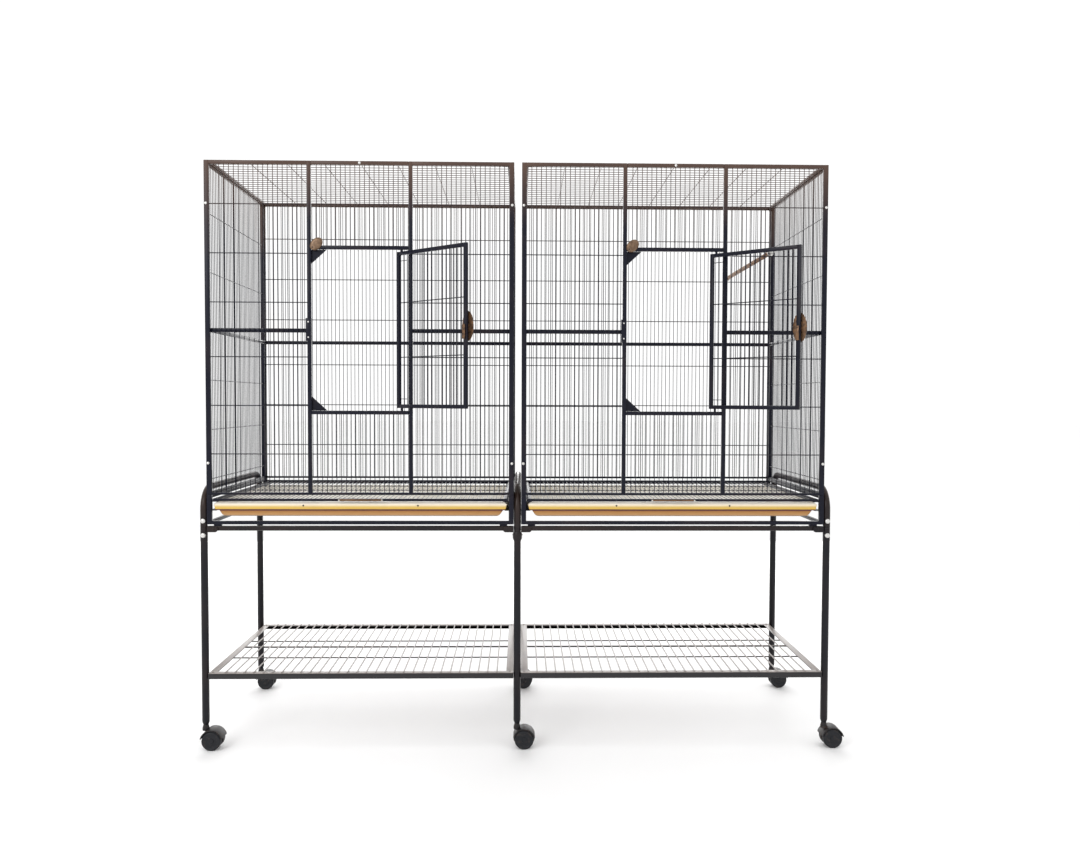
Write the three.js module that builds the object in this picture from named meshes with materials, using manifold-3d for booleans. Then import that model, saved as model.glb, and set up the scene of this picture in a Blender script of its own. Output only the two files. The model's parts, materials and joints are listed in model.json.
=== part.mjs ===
// Double flight cage on a wheeled stand, in millimetres, +Z up, front towards -Y.
//
// Two equal wire cages stand side by side on a stand of three tubular hoops, six legs, four rails
// and two wire shelves. Each cage has a swinging door with a turning latch, a turn button, a
// sliding wire floor and a sliding tray. Six twin-wheel casters carry the stand.
//
// Every second wire of the real grilles is modelled here, with a three-sided section, and the
// short grilles over and under the doorway have upright wires only.

import * as THREE from 'three';
import { mergeVertices } from 'three/addons/utils/BufferGeometryUtils.js';
import Module from 'manifold-3d';

const wasm = await Module();
wasm.setup();

// ---- Fits -------------------------------------------------------------------------------------
const TOUCH_GAP = 0.3;          // between two pieces that touch
const PIN_CLEARANCE = 0.4;      // around a pin or shaft that turns in its hole
const SLIDE_CLEARANCE = 2.5;    // beside a drawer that slides between two rails
const EMBED = 1.0;              // how far a wire's end runs into the rail that holds it
const SEAM = 0.005;             // vertices this close to a flat face's plane lie in it
const ROUND_SIDES = 16;         // facets round a wheel and its hood
const HOLE_SIDES = 12;          // facets round a hole
const HOOP_GAP = 0.5;           // between a hoop and the side of a cage
const DRAWER_RECESS = 1;        // drawer fronts behind the cage's face

// ---- Cage -------------------------------------------------------------------------------------
const CAGE_WIDTH = 803;         // one cage, outside
const CAGE_DEPTH = 533;
const CAGE_HEIGHT = 868;        // wire body, from its bottom rail to its top
const BASE_HEIGHT = 78;         // drawer frame under the wire body
const CORNER_WIDTH = 13;        // corner uprights of the front and back panels
const RAIL_WIDTH = 10;          // top rails and side stiles
const SILL_HEIGHT = 6;          // bottom rails
const FRAME_DEPTH = 10;         // thickness of every wall
const UPRIGHT_WIDTH = 10.5;     // the two uprights beside the doorway
const BAR_HEIGHT = 11;          // flattened tube across the middle of the walls
const BAR_DEPTH = 6;
const BAR_LEVEL = 430;          // height of that tube over the cage's bottom
const WIRE_RADIUS = 1.6;
const WIRE_PITCH = 24.4;
const ROW_START = 71;           // nearest level wires, over and under the middle of the door
const ROW_PITCH = 127;          // spacing of the level wires of the front and back
const SIDE_ROW_PITCH = 130;     // spacing of the sides' level wires under the tube
const SIDE_UPPER_PITCH = 152;   // and over it
const BOLT_RADIUS = 4;
const BOLT_HEAD = 2.5;
const BOLT_INSET = 83;          // corner bolts, from the bottom of the wire body
const TOP_BOLT_INSET = 111;     // and from its top
const BOLT_EDGE = 5;            // middle of a corner bolt, from the cage's edge
const FLAT_WIRE_RADIUS = 1.4;   // wires of the roof, the wire floor and the shelves
const ROOF_FRAME = 7;
const ROOF_SUPPORTS = 7;        // rods under the roof's wires

// ---- Doorway and door -------------------------------------------------------------------------
const DOORWAY_WIDTH = 253;
const DOORWAY_HEIGHT = 419;     // between the two door bars
const DOORWAY_SILL = 221;       // top of the lower door bar, over the cage's bottom
const DOOR_BAR = 10;
const DOOR_THICKNESS = 8;
const DOOR_RAIL = 10;
const DOOR_SIDE_GAP = 1.5;
const DOOR_TOP_GAP = 4.5;
const DOOR_BOTTOM_GAP = 7;
const DOOR_OPEN = 140;          // degrees from shut
const PIN_RADIUS = 3;
const PIN_INSET = 16.25;        // pivot, from the door's hinge-side edge
const PIN_SEAT = 7;             // how far the pin stands in the door bar
const GUSSET_WIDTH = 39;
const GUSSET_HEIGHT = 36;
const GUSSET_THICKNESS = 1.5;
const KEEPER_HEIGHT = 60;
const KEEPER_OVERHANG = 3.5;
const KEEPER_THICKNESS = 2;

// ---- Latch and turn button ----------------------------------------------------------------------
const HANDLE_LENGTH = 75;
const HANDLE_WIDTH = 36;
const HANDLE_THICKNESS = 9;
const HANDLE_EDGE = 5;          // width of the sloping edge at the handle's sides
const HANDLE_END = 8;           // and at its ends
const LATCH_BOSS_RADIUS = 5.5;  // spacer between the handle and the door
const LATCH_SHAFT_RADIUS = 2.6;
const TONGUE_LENGTH = 32;
const TONGUE_WIDTH = 8;
const TONGUE_THICKNESS = 3;
const BUTTON_LENGTH = 38;
const BUTTON_WIDTH = 28;
const BUTTON_THICKNESS = 5;
const BUTTON_PIVOT_INSET = 7;   // pivot, from the button's end
const BUTTON_OFFSET = 6;        // pivot, from the edge of the doorway
const BUTTON_EDGE = 3;          // width of its sloping edge
const BUTTON_SCREW_RADIUS = 2;
const BUTTON_NUT_RADIUS = 4;
const BUTTON_NUT_THICKNESS = 2.2;
const BUTTON_ANGLE = 45;        // degrees up from level

// ---- Wire floor and tray --------------------------------------------------------------------------
const FLOOR_FRAME = 7;
const FLOOR_DROP = 10;          // under the cage's bottom rail
const FLOOR_SUPPORTS = 3;
const FLOOR_HANDLE = 116;
const FLOOR_HANDLE_REACH = 5;   // its front face, before the floor's frame
const FLOOR_HANDLE_BAR = 4;     // height of its bar
const FLOOR_HANDLE_SHEET = 2;   // and its thickness
const RUNNER_THICKNESS = 1.5;
const FLOOR_RUNNER = 18;        // width of the ledges under the wire floor
const BASE_BACK_DROP = 6;       // upper back rail of the drawer frame, below its top
const TRAY_RUNNER = 14;         // width of the ledges under the tray
const TRAY_RIM_HEIGHT = 21;     // upper part of the tray, over its shoulder
const TRAY_PAN_DEPTH = 17;      // lower part, under its shoulder
const TRAY_RIM_LEAN = 5;        // how far the rim's sides lean in
const TRAY_PAN_CLEARANCE = 4.5; // between the pan and a ledge
const TRAY_PAN_SLOPE = 12;      // how far the pan's sides lean in
const TRAY_PAN_SETBACK = 10;    // pan, shorter than the rim at the front and the back
const TRAY_WALL = 1.5;
const TRAY_SIDE_GAP = 1;        // tray, narrower than the wire floor on each side
const TRAY_BACK_GAP = 17;       // behind the tray
const TRAY_HEAD_GAP = 0.5;      // over the tray
const BASE_RAIL = 9;            // rails round the top and the bottom of the drawer frame

// ---- Stand ------------------------------------------------------------------------------------------
const TUBE_RADIUS = 9.5;
const HOOP_HEIGHT = 105;        // hoop's top over its joints with the legs
const HOOP_BEND = 58;
const LEG_HEIGHT = 522;
const CASTER_HEIGHT = 65;
const RAIL_HEIGHT = 12.5;
const RAIL_DROP = 7;            // underside of the rails, under the joints
const LUG_LENGTH = 28;
const LUG_DROP = 3.5;           // how far the lugs hang under the rail
const LUG_TOP = 1;              // and how far they stay under its top
const LUG_THICKNESS = 3;
const STAND_BOLT_RADIUS = 6.5;
const STAND_BOLT_HEAD = 3;
const STAND_BOLT_OFFSET = 19;   // above and below the joint
const COLLAR_RADIUS = 12.5;
const COLLAR_HEIGHT = 22;
const FOOT_LENGTH = 20;         // feet of the cage base on the stand's rails
const FOOT_DEPTH = 12;
const FOOT_HEIGHT = 4.5;
const FOOT_INSET = 17;
const SHELF_LEVEL = 203;        // top of the shelf over the ground
const SHELF_RAIL_HEIGHT = 15.5;
const SHELF_FLANGE = 19;
const SHELF_SHEET = 3;
const SHELF_PITCH = 24.4;
const SHELF_BAYS = 4;           // stretches between the rods under the shelf

// ---- Casters ----------------------------------------------------------------------------------------
const WHEEL_RADIUS = 25.5;
const WHEEL_WIDTH = 17;
const WHEEL_GAP = 11;           // between the two wheels of a caster
const CASTER_TRAIL = 19;        // axle behind the stem
const AXLE_RADIUS = 3;
const WEB_RADIUS = 19;
const HOOD_THICKNESS = 2.5;
const HOOD_GAP = 1.5;
const STEM_RADIUS = 5;
const STEM_LENGTH = 30;
const CASTER_BOSS_RADIUS = 9;
const CASTER_BOSS_ROOT = 10.5;  // how far the boss runs down past the hood's top
const HOOD_BOTTOM = 6;          // hood's lower edge over the axle

// ---- Perch ------------------------------------------------------------------------------------------
const PERCH_RADIUS = 6;
const PERCH_LEVEL = 641;        // over the cage's bottom
const PERCH_INSET = 147;        // from the cage's outer side
const PERCH_WASHER_RADIUS = 9;
const PERCH_WASHER_THICKNESS = 3;
const PERCH_WASHER_GAP = 1;     // between a washer and the inside of the wall
const PERCH_SCREW_RADIUS = 2.2;
const PERCH_NUT_RADIUS = 7;
const PERCH_NUT_THICKNESS = 3;

// ---- Worked out from the values above -----------------------------------------------------------------
const HALF_DEPTH = CAGE_DEPTH / 2;
const LEG_SPREAD = CAGE_DEPTH - 2 * TUBE_RADIUS;
const CAGE_SPACING = 2 * (TUBE_RADIUS + HOOP_GAP);
const JOINT_LEVEL = CASTER_HEIGHT + LEG_HEIGHT;
const STAND_RAIL_TOP = JOINT_LEVEL - RAIL_DROP + RAIL_HEIGHT;
const BASE_LEVEL = STAND_RAIL_TOP + FOOT_HEIGHT;
const CAGE_LEVEL = BASE_LEVEL + BASE_HEIGHT;
const HOOP_OFFSET = CAGE_WIDTH + CAGE_SPACING;
const WIRE_FLAT = WIRE_RADIUS / 2;
const WIRE_SIDE = WIRE_RADIUS * Math.sqrt(3) / 2;
const WIRE_PLANE = FRAME_DEPTH / 2 - 1.5 * WIRE_FLAT;
const ROW_PLANE = WIRE_PLANE + WIRE_FLAT + WIRE_SIDE + TOUCH_GAP;
const BAR_FACE = ROW_PLANE + WIRE_SIDE + TOUCH_GAP;
const UPRIGHT_LEFT = (CAGE_WIDTH - DOORWAY_WIDTH) / 2 - UPRIGHT_WIDTH;
const UPRIGHT_RIGHT = (CAGE_WIDTH + DOORWAY_WIDTH) / 2;
const DOORWAY_LEFT = UPRIGHT_LEFT + UPRIGHT_WIDTH;
const DOOR_WIDTH = DOORWAY_WIDTH - 2 * DOOR_SIDE_GAP;
const DOOR_HEIGHT = DOORWAY_HEIGHT - DOOR_TOP_GAP - DOOR_BOTTOM_GAP;
const DOOR_MIDDLE = DOORWAY_SILL + DOOR_BOTTOM_GAP + DOOR_HEIGHT / 2;
const FLOOR_LEVEL = CAGE_LEVEL - FLOOR_DROP - FLOOR_FRAME;
const FLOOR_RUNNER_LEVEL = FLOOR_LEVEL - TOUCH_GAP - RUNNER_THICKNESS;
const TRAY_TOP = FLOOR_RUNNER_LEVEL - TRAY_HEAD_GAP;
const TRAY_SHOULDER = TRAY_TOP - TRAY_RIM_HEIGHT;
const DRAWER_WIDTH = CAGE_WIDTH - 2 * CORNER_WIDTH - 2 * SLIDE_CLEARANCE;
const TRAY_WIDTH = DRAWER_WIDTH - 2 * TRAY_SIDE_GAP;
const TRAY_PAN_WIDTH = CAGE_WIDTH - 2 * (FRAME_DEPTH + TRAY_RUNNER + TRAY_PAN_CLEARANCE);
const TRAY_DEPTH = CAGE_DEPTH - FRAME_DEPTH - DRAWER_RECESS - TRAY_BACK_GAP;
const WHEEL_PAIR_WIDTH = 2 * WHEEL_WIDTH + WHEEL_GAP;

// ---- Solids -------------------------------------------------------------------------------------------

// Turns a closed three.js geometry into a solid that can be joined and cut.
function solidOf(geometry) {
  geometry.deleteAttribute('normal');
  geometry.deleteAttribute('uv');
  const merged = mergeVertices(geometry, 1e-4);
  return new wasm.Manifold(new wasm.Mesh({
    numProp: 3,
    vertProperties: new Float32Array(merged.getAttribute('position').array),
    triVerts: new Uint32Array(merged.getIndex().array),
  }));
}

// Joins a list of solids into one.
function join(solids) {
  return solids.reduce((sum, solid) => sum.add(solid));
}

// Same solid with the seams between faces in one plane taken away.
function seamless(solid) {
  return solid.asOriginal().simplify(SEAM);
}

// Box between two spans on each axis. Its corners are set, not moved, so that the faces of two
// boxes at one level lie in exactly one plane.
function box(xSpan, ySpan, zSpan) {
  const geometry = new THREE.BoxGeometry(2, 2, 2);
  const corners = geometry.getAttribute('position');
  for (let index = 0; index < corners.count; index += 1) {
    corners.setXYZ(
      index,
      xSpan[corners.getX(index) < 0 ? 0 : 1],
      ySpan[corners.getY(index) < 0 ? 0 : 1],
      zSpan[corners.getZ(index) < 0 ? 0 : 1],
    );
  }
  return solidOf(geometry);
}

// Rod along one axis from start to end. The centre gives its place on the other two axes, in
// the order X, Y, Z. A three-sided rod along X or Y points up, and one along Z points to -Y.
function rod(axis, [start, end], centre, radius, sides = 12) {
  const geometry = new THREE.CylinderGeometry(radius, radius, end - start, sides);
  const middle = (start + end) / 2;
  if (axis === 'x') {
    geometry.rotateZ(Math.PI / 2);
    geometry.translate(middle, centre[0], centre[1]);
  } else if (axis === 'y') {
    geometry.translate(centre[0], middle, centre[1]);
  } else {
    geometry.rotateX(Math.PI / 2);
    geometry.translate(centre[0], centre[1], middle);
  }
  return solidOf(geometry);
}

// Hole for a pin that turns in it: its flat sides stay clear of the pin by the pin clearance.
function turningHole(axis, span, centre, pinRadius) {
  const radius = (pinRadius + PIN_CLEARANCE) / Math.cos(Math.PI / HOLE_SIDES);
  return rod(axis, span, centre, radius, HOLE_SIDES);
}

// Flat shape drawn in X and Z, extruded along Y from y0 to y1.
function plate(shape, [y0, y1]) {
  const geometry = new THREE.ExtrudeGeometry(shape, {
    depth: y1 - y0,
    bevelEnabled: false,
    curveSegments: ROUND_SIDES / 2,
  });
  geometry.rotateX(Math.PI / 2);
  geometry.translate(0, y1, 0);
  return solidOf(geometry);
}

// Ellipse as a flat shape.
function ellipse(x, z, halfWidth, halfHeight) {
  const shape = new THREE.Shape();
  shape.absellipse(x, z, halfWidth, halfHeight, 0, 2 * Math.PI);
  return shape;
}

// Closed outline through a list of corners.
function outline(corners) {
  return new THREE.Shape(corners.map(([x, z]) => new THREE.Vector2(x, z)));
}

// Even positions for a row of wires between two rails, with the same gap at both ends.
function spread(start, end, pitch) {
  const count = Math.max(1, Math.round((end - start) / pitch) - 1);
  const step = (end - start) / (count + 1);
  return Array.from({ length: count }, (_, index) => start + step * (index + 1));
}

// Levels at a fixed pitch, up or down from a first one, kept clear of the end of their span.
function levelsFrom(first, pitch, end) {
  const count = Math.floor((Math.abs(end - first) - Math.abs(pitch) / 8) / Math.abs(pitch)) + 1;
  return Array.from({ length: count }, (_, index) => first + pitch * index);
}

// ---- Scene graph ----------------------------------------------------------------------------------------
const finishes = {
  frame: { color: 0x14151f, roughness: 0.42, metalness: 0.35 },
  bronze: { color: 0x5a3a26, roughness: 0.34, metalness: 0.55 },
  shelf: { color: 0x2a2b33, roughness: 0.4, metalness: 0.4 },
  tray: { color: 0xd9a441, roughness: 0.45, metalness: 0.1 },
  button: { color: 0x9a8468, roughness: 0.4, metalness: 0.5 },
  caster: { color: 0x1d1e22, roughness: 0.55, metalness: 0.05 },
  wood: { color: 0x7a4d2c, roughness: 0.7, metalness: 0 },
};

// Named mesh of one solid with its own material.
function piece(name, solid, finish) {
  const mesh = seamless(solid).getMesh();
  const geometry = new THREE.BufferGeometry();
  geometry.setAttribute('position', new THREE.BufferAttribute(mesh.vertProperties, 3));
  geometry.setIndex(new THREE.BufferAttribute(mesh.triVerts, 1));
  const material = new THREE.MeshStandardMaterial({ ...finishes[finish], flatShading: true });
  const result = new THREE.Mesh(geometry, material);
  result.name = name;
  return result;
}

// Stands an object at a place, with its own X and Y axes along two given directions.
function place(object, [x, y, z], xAxis, yAxis) {
  const right = new THREE.Vector3(...xAxis);
  const inward = new THREE.Vector3(...yAxis);
  const up = new THREE.Vector3().crossVectors(right, inward);
  object.setRotationFromMatrix(new THREE.Matrix4().makeBasis(right, inward, up));
  object.position.set(x, y, z);
  return object;
}

// ---- Walls ----------------------------------------------------------------------------------------------
// A wall is made in its own frame: X along it, Z up it, and Y from its outside face inwards.

// Upright wires between a lower and an upper rail.
function wires(columns, bottom, top, plane = WIRE_PLANE, radius = WIRE_RADIUS) {
  return columns.map((x) => rod('z', [bottom - EMBED, top + EMBED], [x, plane], radius, 3));
}

// Level wires between a left and a right stile.
function rows(levels, left, right, plane = ROW_PLANE, radius = WIRE_RADIUS) {
  return levels.map((z) => rod('x', [left - EMBED, right + EMBED], [plane, z], radius, 3));
}

// Bright bolt head on the outside face.
function wallBolt(x, z) {
  return rod('y', [-BOLT_HEAD, EMBED], [x, z], BOLT_RADIUS, 8);
}

// Corner bolts of the front, one low and one high.
function cornerBolts(x) {
  return [wallBolt(x, BOLT_INSET), wallBolt(x, CAGE_HEIGHT - TOP_BOLT_INSET)];
}

// Framed grille: two stiles, a sill, a top rail, wires, and a tube across its back.
function wall({ width, left, right, levels, barLevel, barLeft, barRight }) {
  const solids = [
    box([0, left], [0, FRAME_DEPTH], [0, CAGE_HEIGHT]),
    box([width - right, width], [0, FRAME_DEPTH], [0, CAGE_HEIGHT]),
    box([left / 2, width - right / 2], [0, FRAME_DEPTH], [0, SILL_HEIGHT]),
    box([left / 2, width - right / 2], [0, FRAME_DEPTH], [CAGE_HEIGHT - RAIL_WIDTH, CAGE_HEIGHT]),
    box([barLeft, barRight], [BAR_FACE, BAR_FACE + BAR_DEPTH],
      [barLevel - BAR_HEIGHT / 2, barLevel + BAR_HEIGHT / 2]),
    ...wires(spread(left, width - right, WIRE_PITCH), SILL_HEIGHT, CAGE_HEIGHT - RAIL_WIDTH),
    ...rows(levels, left, width - right),
  ];
  return join(solids);
}

// Heights of the level wires of the front and the back, over and under the middle of the door.
function frontLevels() {
  return [
    ...levelsFrom(DOOR_MIDDLE + ROW_START, ROW_PITCH, CAGE_HEIGHT - RAIL_WIDTH),
    ...levelsFrom(DOOR_MIDDLE - ROW_START, -ROW_PITCH, SILL_HEIGHT),
  ];
}

// Heights of the level wires of the sides, over and under the tube.
function sideLevels() {
  return [
    ...levelsFrom(BAR_LEVEL + SIDE_UPPER_PITCH, SIDE_UPPER_PITCH, CAGE_HEIGHT - RAIL_WIDTH),
    ...levelsFrom(BAR_LEVEL - SIDE_ROW_PITCH, -SIDE_ROW_PITCH, SILL_HEIGHT),
  ];
}

// The two triangular plates in the doorway's latch-side corners, and the latch's keeper.
function doorwayFittings() {
  const lower = DOORWAY_SILL;
  const upper = DOORWAY_SILL + DOORWAY_HEIGHT;
  const edge = UPRIGHT_LEFT + UPRIGHT_WIDTH / 2;
  const tip = DOORWAY_LEFT + GUSSET_WIDTH;
  const depth = [FRAME_DEPTH - GUSSET_THICKNESS, FRAME_DEPTH];
  const lowerGusset = outline([
    [edge, lower + TOUCH_GAP],
    [tip, lower + TOUCH_GAP],
    [DOORWAY_LEFT, lower + GUSSET_HEIGHT],
    [edge, lower + GUSSET_HEIGHT],
  ]);
  const upperGusset = outline([
    [edge, upper - GUSSET_HEIGHT],
    [DOORWAY_LEFT, upper - GUSSET_HEIGHT],
    [tip, upper - TOUCH_GAP],
    [edge, upper - TOUCH_GAP],
  ]);
  const keeper = box(
    [UPRIGHT_LEFT - KEEPER_OVERHANG, DOORWAY_LEFT],
    [-KEEPER_THICKNESS, FRAME_DEPTH - KEEPER_THICKNESS],
    [DOOR_MIDDLE - KEEPER_HEIGHT / 2, DOOR_MIDDLE + KEEPER_HEIGHT / 2],
  );
  return [plate(lowerGusset, depth), plate(upperGusset, depth), keeper];
}

// Front wall's latch-side column, from the cage's corner to the first upright.
function frontLatchColumn() {
  const width = DOORWAY_LEFT;
  const column = wall({
    width,
    left: CORNER_WIDTH,
    right: UPRIGHT_WIDTH,
    levels: frontLevels(),
    barLevel: BAR_LEVEL,
    barLeft: FRAME_DEPTH + TOUCH_GAP,
    barRight: width - UPRIGHT_WIDTH / 2,
  });
  return join([column, ...doorwayFittings(), ...cornerBolts(BOLT_EDGE)]);
}

// Front wall's hinge-side column, from the second upright to the cage's other corner.
function frontHingeColumn() {
  const width = CAGE_WIDTH - UPRIGHT_RIGHT;
  const column = wall({
    width,
    left: UPRIGHT_WIDTH,
    right: CORNER_WIDTH,
    levels: frontLevels(),
    barLevel: BAR_LEVEL,
    barLeft: UPRIGHT_WIDTH / 2,
    barRight: width - FRAME_DEPTH - TOUCH_GAP,
  });
  return join([column, ...cornerBolts(width - BOLT_EDGE)]);
}

// Hole in a door bar for the door's pivot pin.
function pinHole(bottom, top) {
  const x = DOORWAY_WIDTH - DOOR_SIDE_GAP - PIN_INSET;
  return turningHole('z', [bottom - EMBED, top + EMBED], [x, DOOR_THICKNESS / 2], PIN_RADIUS);
}

// Grille over the doorway, between the two uprights, with the upper door bar.
function grilleOver() {
  const left = TOUCH_GAP;
  const right = DOORWAY_WIDTH - TOUCH_GAP;
  const barBottom = DOORWAY_SILL + DOORWAY_HEIGHT;
  const railBottom = CAGE_HEIGHT - RAIL_WIDTH;
  const screwPlace = [buttonPivot()[0] - DOORWAY_LEFT, buttonPivot()[1]];
  const screwHole = turningHole('y', [-EMBED, FRAME_DEPTH + EMBED], screwPlace,
    BUTTON_SCREW_RADIUS);
  return join([
    box([left, right], [0, FRAME_DEPTH], [barBottom, barBottom + DOOR_BAR]),
    box([left, right], [0, FRAME_DEPTH], [railBottom, CAGE_HEIGHT]),
    ...wires(spread(0, DOORWAY_WIDTH, WIRE_PITCH), barBottom + DOOR_BAR, railBottom),
    wallBolt(DOORWAY_WIDTH / 2, CAGE_HEIGHT - RAIL_WIDTH / 2),
  ]).subtract(pinHole(barBottom, barBottom + DOOR_BAR)).subtract(screwHole);
}

// Grille under the doorway, with the lower door bar.
function grilleUnder() {
  const left = TOUCH_GAP;
  const right = DOORWAY_WIDTH - TOUCH_GAP;
  const barBottom = DOORWAY_SILL - DOOR_BAR;
  return join([
    box([left, right], [0, FRAME_DEPTH], [0, SILL_HEIGHT]),
    box([left, right], [0, FRAME_DEPTH], [barBottom, DOORWAY_SILL]),
    ...wires(spread(0, DOORWAY_WIDTH, WIRE_PITCH), SILL_HEIGHT, barBottom),
  ]).subtract(pinHole(barBottom, DOORWAY_SILL));
}

// Back wall, as wide as the cage.
function backWall() {
  return wall({
    width: CAGE_WIDTH,
    left: CORNER_WIDTH,
    right: CORNER_WIDTH,
    levels: frontLevels(),
    barLevel: BAR_LEVEL,
    barLeft: FRAME_DEPTH + TOUCH_GAP,
    barRight: CAGE_WIDTH - FRAME_DEPTH - TOUCH_GAP,
  });
}

// Side wall, which stands between the front and the back.
function sideWall() {
  const width = CAGE_DEPTH - 2 * FRAME_DEPTH - 2 * TOUCH_GAP;
  return wall({
    width,
    left: RAIL_WIDTH,
    right: RAIL_WIDTH,
    levels: sideLevels(),
    barLevel: BAR_LEVEL,
    barLeft: RAIL_WIDTH / 2,
    barRight: width - RAIL_WIDTH / 2,
  });
}

// Flat framed grille with wires one way and support rods the other way under them.
function flatGrille({ width, length, frame, supports }) {
  const radius = FLAT_WIRE_RADIUS;
  const plane = radius + TOUCH_GAP;
  const under = plane + 2.5 * radius;
  return join([
    box([0, frame], [0, frame], [0, length]),
    box([width - frame, width], [0, frame], [0, length]),
    box([frame / 2, width - frame / 2], [0, frame], [0, frame]),
    box([frame / 2, width - frame / 2], [0, frame], [length - frame, length]),
    ...wires(spread(frame, width - frame, WIRE_PITCH), frame, length - frame, plane, radius),
    ...rows(spread(frame, length - frame, (length - 2 * frame) / (supports + 1)),
      frame, width - frame, under, radius),
  ]);
}

// Roof grille, let in between the four walls.
function roof() {
  return flatGrille({
    width: CAGE_DEPTH - 2 * FRAME_DEPTH - 2 * TOUCH_GAP,
    length: CAGE_WIDTH - 2 * FRAME_DEPTH - 2 * TOUCH_GAP,
    frame: ROOF_FRAME,
    supports: ROOF_SUPPORTS,
  });
}

// ---- Base ---------------------------------------------------------------------------------------------

// Drawer frame under one cage: posts, rails, ledges for the wire floor and the tray, and feet.
// Its frame has X along the cage, Y from the front to the back and Z up from its underside.
function base() {
  const top = BASE_HEIGHT - TOUCH_GAP;
  const inner = CAGE_WIDTH - FRAME_DEPTH;
  const floorLedge = FLOOR_RUNNER_LEVEL - BASE_LEVEL;
  const trayLedge = TRAY_SHOULDER - TOUCH_GAP - RUNNER_THICKNESS - BASE_LEVEL;
  const legLine = (CAGE_DEPTH - LEG_SPREAD) / 2;
  const solids = [
    box([0, CAGE_WIDTH], [0, FRAME_DEPTH], [0, BASE_RAIL]),
    box([0, CAGE_WIDTH], [CAGE_DEPTH - FRAME_DEPTH, CAGE_DEPTH], [0, BASE_RAIL]),
    box([0, CAGE_WIDTH], [CAGE_DEPTH - FRAME_DEPTH, CAGE_DEPTH],
      [top - BASE_BACK_DROP - BASE_RAIL, top - BASE_BACK_DROP]),
  ];
  for (const [near, far] of [[0, CORNER_WIDTH], [CAGE_WIDTH - CORNER_WIDTH, CAGE_WIDTH]]) {
    solids.push(box([near, far], [0, FRAME_DEPTH], [0, top]));
    solids.push(box([near, far], [CAGE_DEPTH - FRAME_DEPTH, CAGE_DEPTH], [0, top]));
  }
  for (const [near, far] of [[0, FRAME_DEPTH], [inner, CAGE_WIDTH]]) {
    solids.push(box([near, far], [EMBED, CAGE_DEPTH - EMBED], [0, BASE_RAIL]));
    solids.push(box([near, far], [EMBED, CAGE_DEPTH - EMBED], [top - BASE_RAIL, top]));
  }
  for (const side of [0, 1]) {
    const ledge = (reach) => (side === 0
      ? [FRAME_DEPTH / 2, FRAME_DEPTH + reach]
      : [inner - reach, CAGE_WIDTH - FRAME_DEPTH / 2]);
    const run = [FRAME_DEPTH / 2, CAGE_DEPTH - FRAME_DEPTH / 2];
    solids.push(box(ledge(FLOOR_RUNNER), run, [floorLedge, floorLedge + RUNNER_THICKNESS]));
    solids.push(box(ledge(TRAY_RUNNER), run, [trayLedge, trayLedge + RUNNER_THICKNESS]));
    const foot = side * (CAGE_WIDTH - 2 * FOOT_INSET - FOOT_LENGTH) + FOOT_INSET;
    for (const y of [legLine, CAGE_DEPTH - legLine]) {
      solids.push(box([foot, foot + FOOT_LENGTH], [y - FOOT_DEPTH / 2, y + FOOT_DEPTH / 2],
        [TOUCH_GAP - FOOT_HEIGHT, EMBED]));
    }
  }
  return join(solids);
}

// Sliding wire floor with its handle, made like a wall and laid flat with its top outwards.
function wireFloor() {
  const left = (DRAWER_WIDTH - FLOOR_HANDLE) / 2;
  const right = left + FLOOR_HANDLE;
  const face = -FLOOR_HANDLE_REACH;
  const drop = (FLOOR_FRAME - FLOOR_HANDLE_BAR) / 2;
  const height = [drop, drop + FLOOR_HANDLE_BAR];
  return join([
    flatGrille({
      width: DRAWER_WIDTH,
      length: CAGE_DEPTH - FRAME_DEPTH - DRAWER_RECESS - TOUCH_GAP,
      frame: FLOOR_FRAME,
      supports: FLOOR_SUPPORTS,
    }),
    box([left, right], height, [face, face + FLOOR_HANDLE_SHEET]),
    box([left, left + FLOOR_HANDLE_SHEET], height, [face, EMBED]),
    box([right - FLOOR_HANDLE_SHEET, right], height, [face, EMBED]),
  ]);
}

// Tray with an upright rim over a shoulder and a pan with leaning sides under it. X across, Y from
// front to back, and Z up from the shoulder.
function tray() {
  const body = (inset, floor, start, end) => {
    const half = TRAY_WIDTH / 2 - inset;
    const panHalf = TRAY_PAN_WIDTH / 2 - inset;
    const rim = outline([
      [-half + TRAY_RIM_LEAN, floor],
      [half - TRAY_RIM_LEAN, floor],
      [half, TRAY_RIM_HEIGHT + inset],
      [-half, TRAY_RIM_HEIGHT + inset],
    ]);
    const pan = outline([
      [-panHalf + TRAY_PAN_SLOPE, floor - TRAY_PAN_DEPTH],
      [panHalf - TRAY_PAN_SLOPE, floor - TRAY_PAN_DEPTH],
      [panHalf, floor + EMBED],
      [-panHalf, floor + EMBED],
    ]);
    const panSpan = [start + TRAY_PAN_SETBACK, end - TRAY_PAN_SETBACK];
    return plate(rim, [start, end]).add(plate(pan, panSpan));
  };
  return body(0, 0, 0, TRAY_DEPTH)
    .subtract(body(TRAY_WALL, TRAY_WALL, TRAY_WALL, TRAY_DEPTH - TRAY_WALL));
}

// ---- Door ---------------------------------------------------------------------------------------------
// The door is made shut, with X from its pivot, Y from the middle of its thickness and Z up from
// its bottom edge. Its free edge is on the -X side.
const DOOR_FREE = PIN_INSET - DOOR_WIDTH;
const LATCH_X = DOOR_FREE + DOOR_RAIL / 2;

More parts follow.
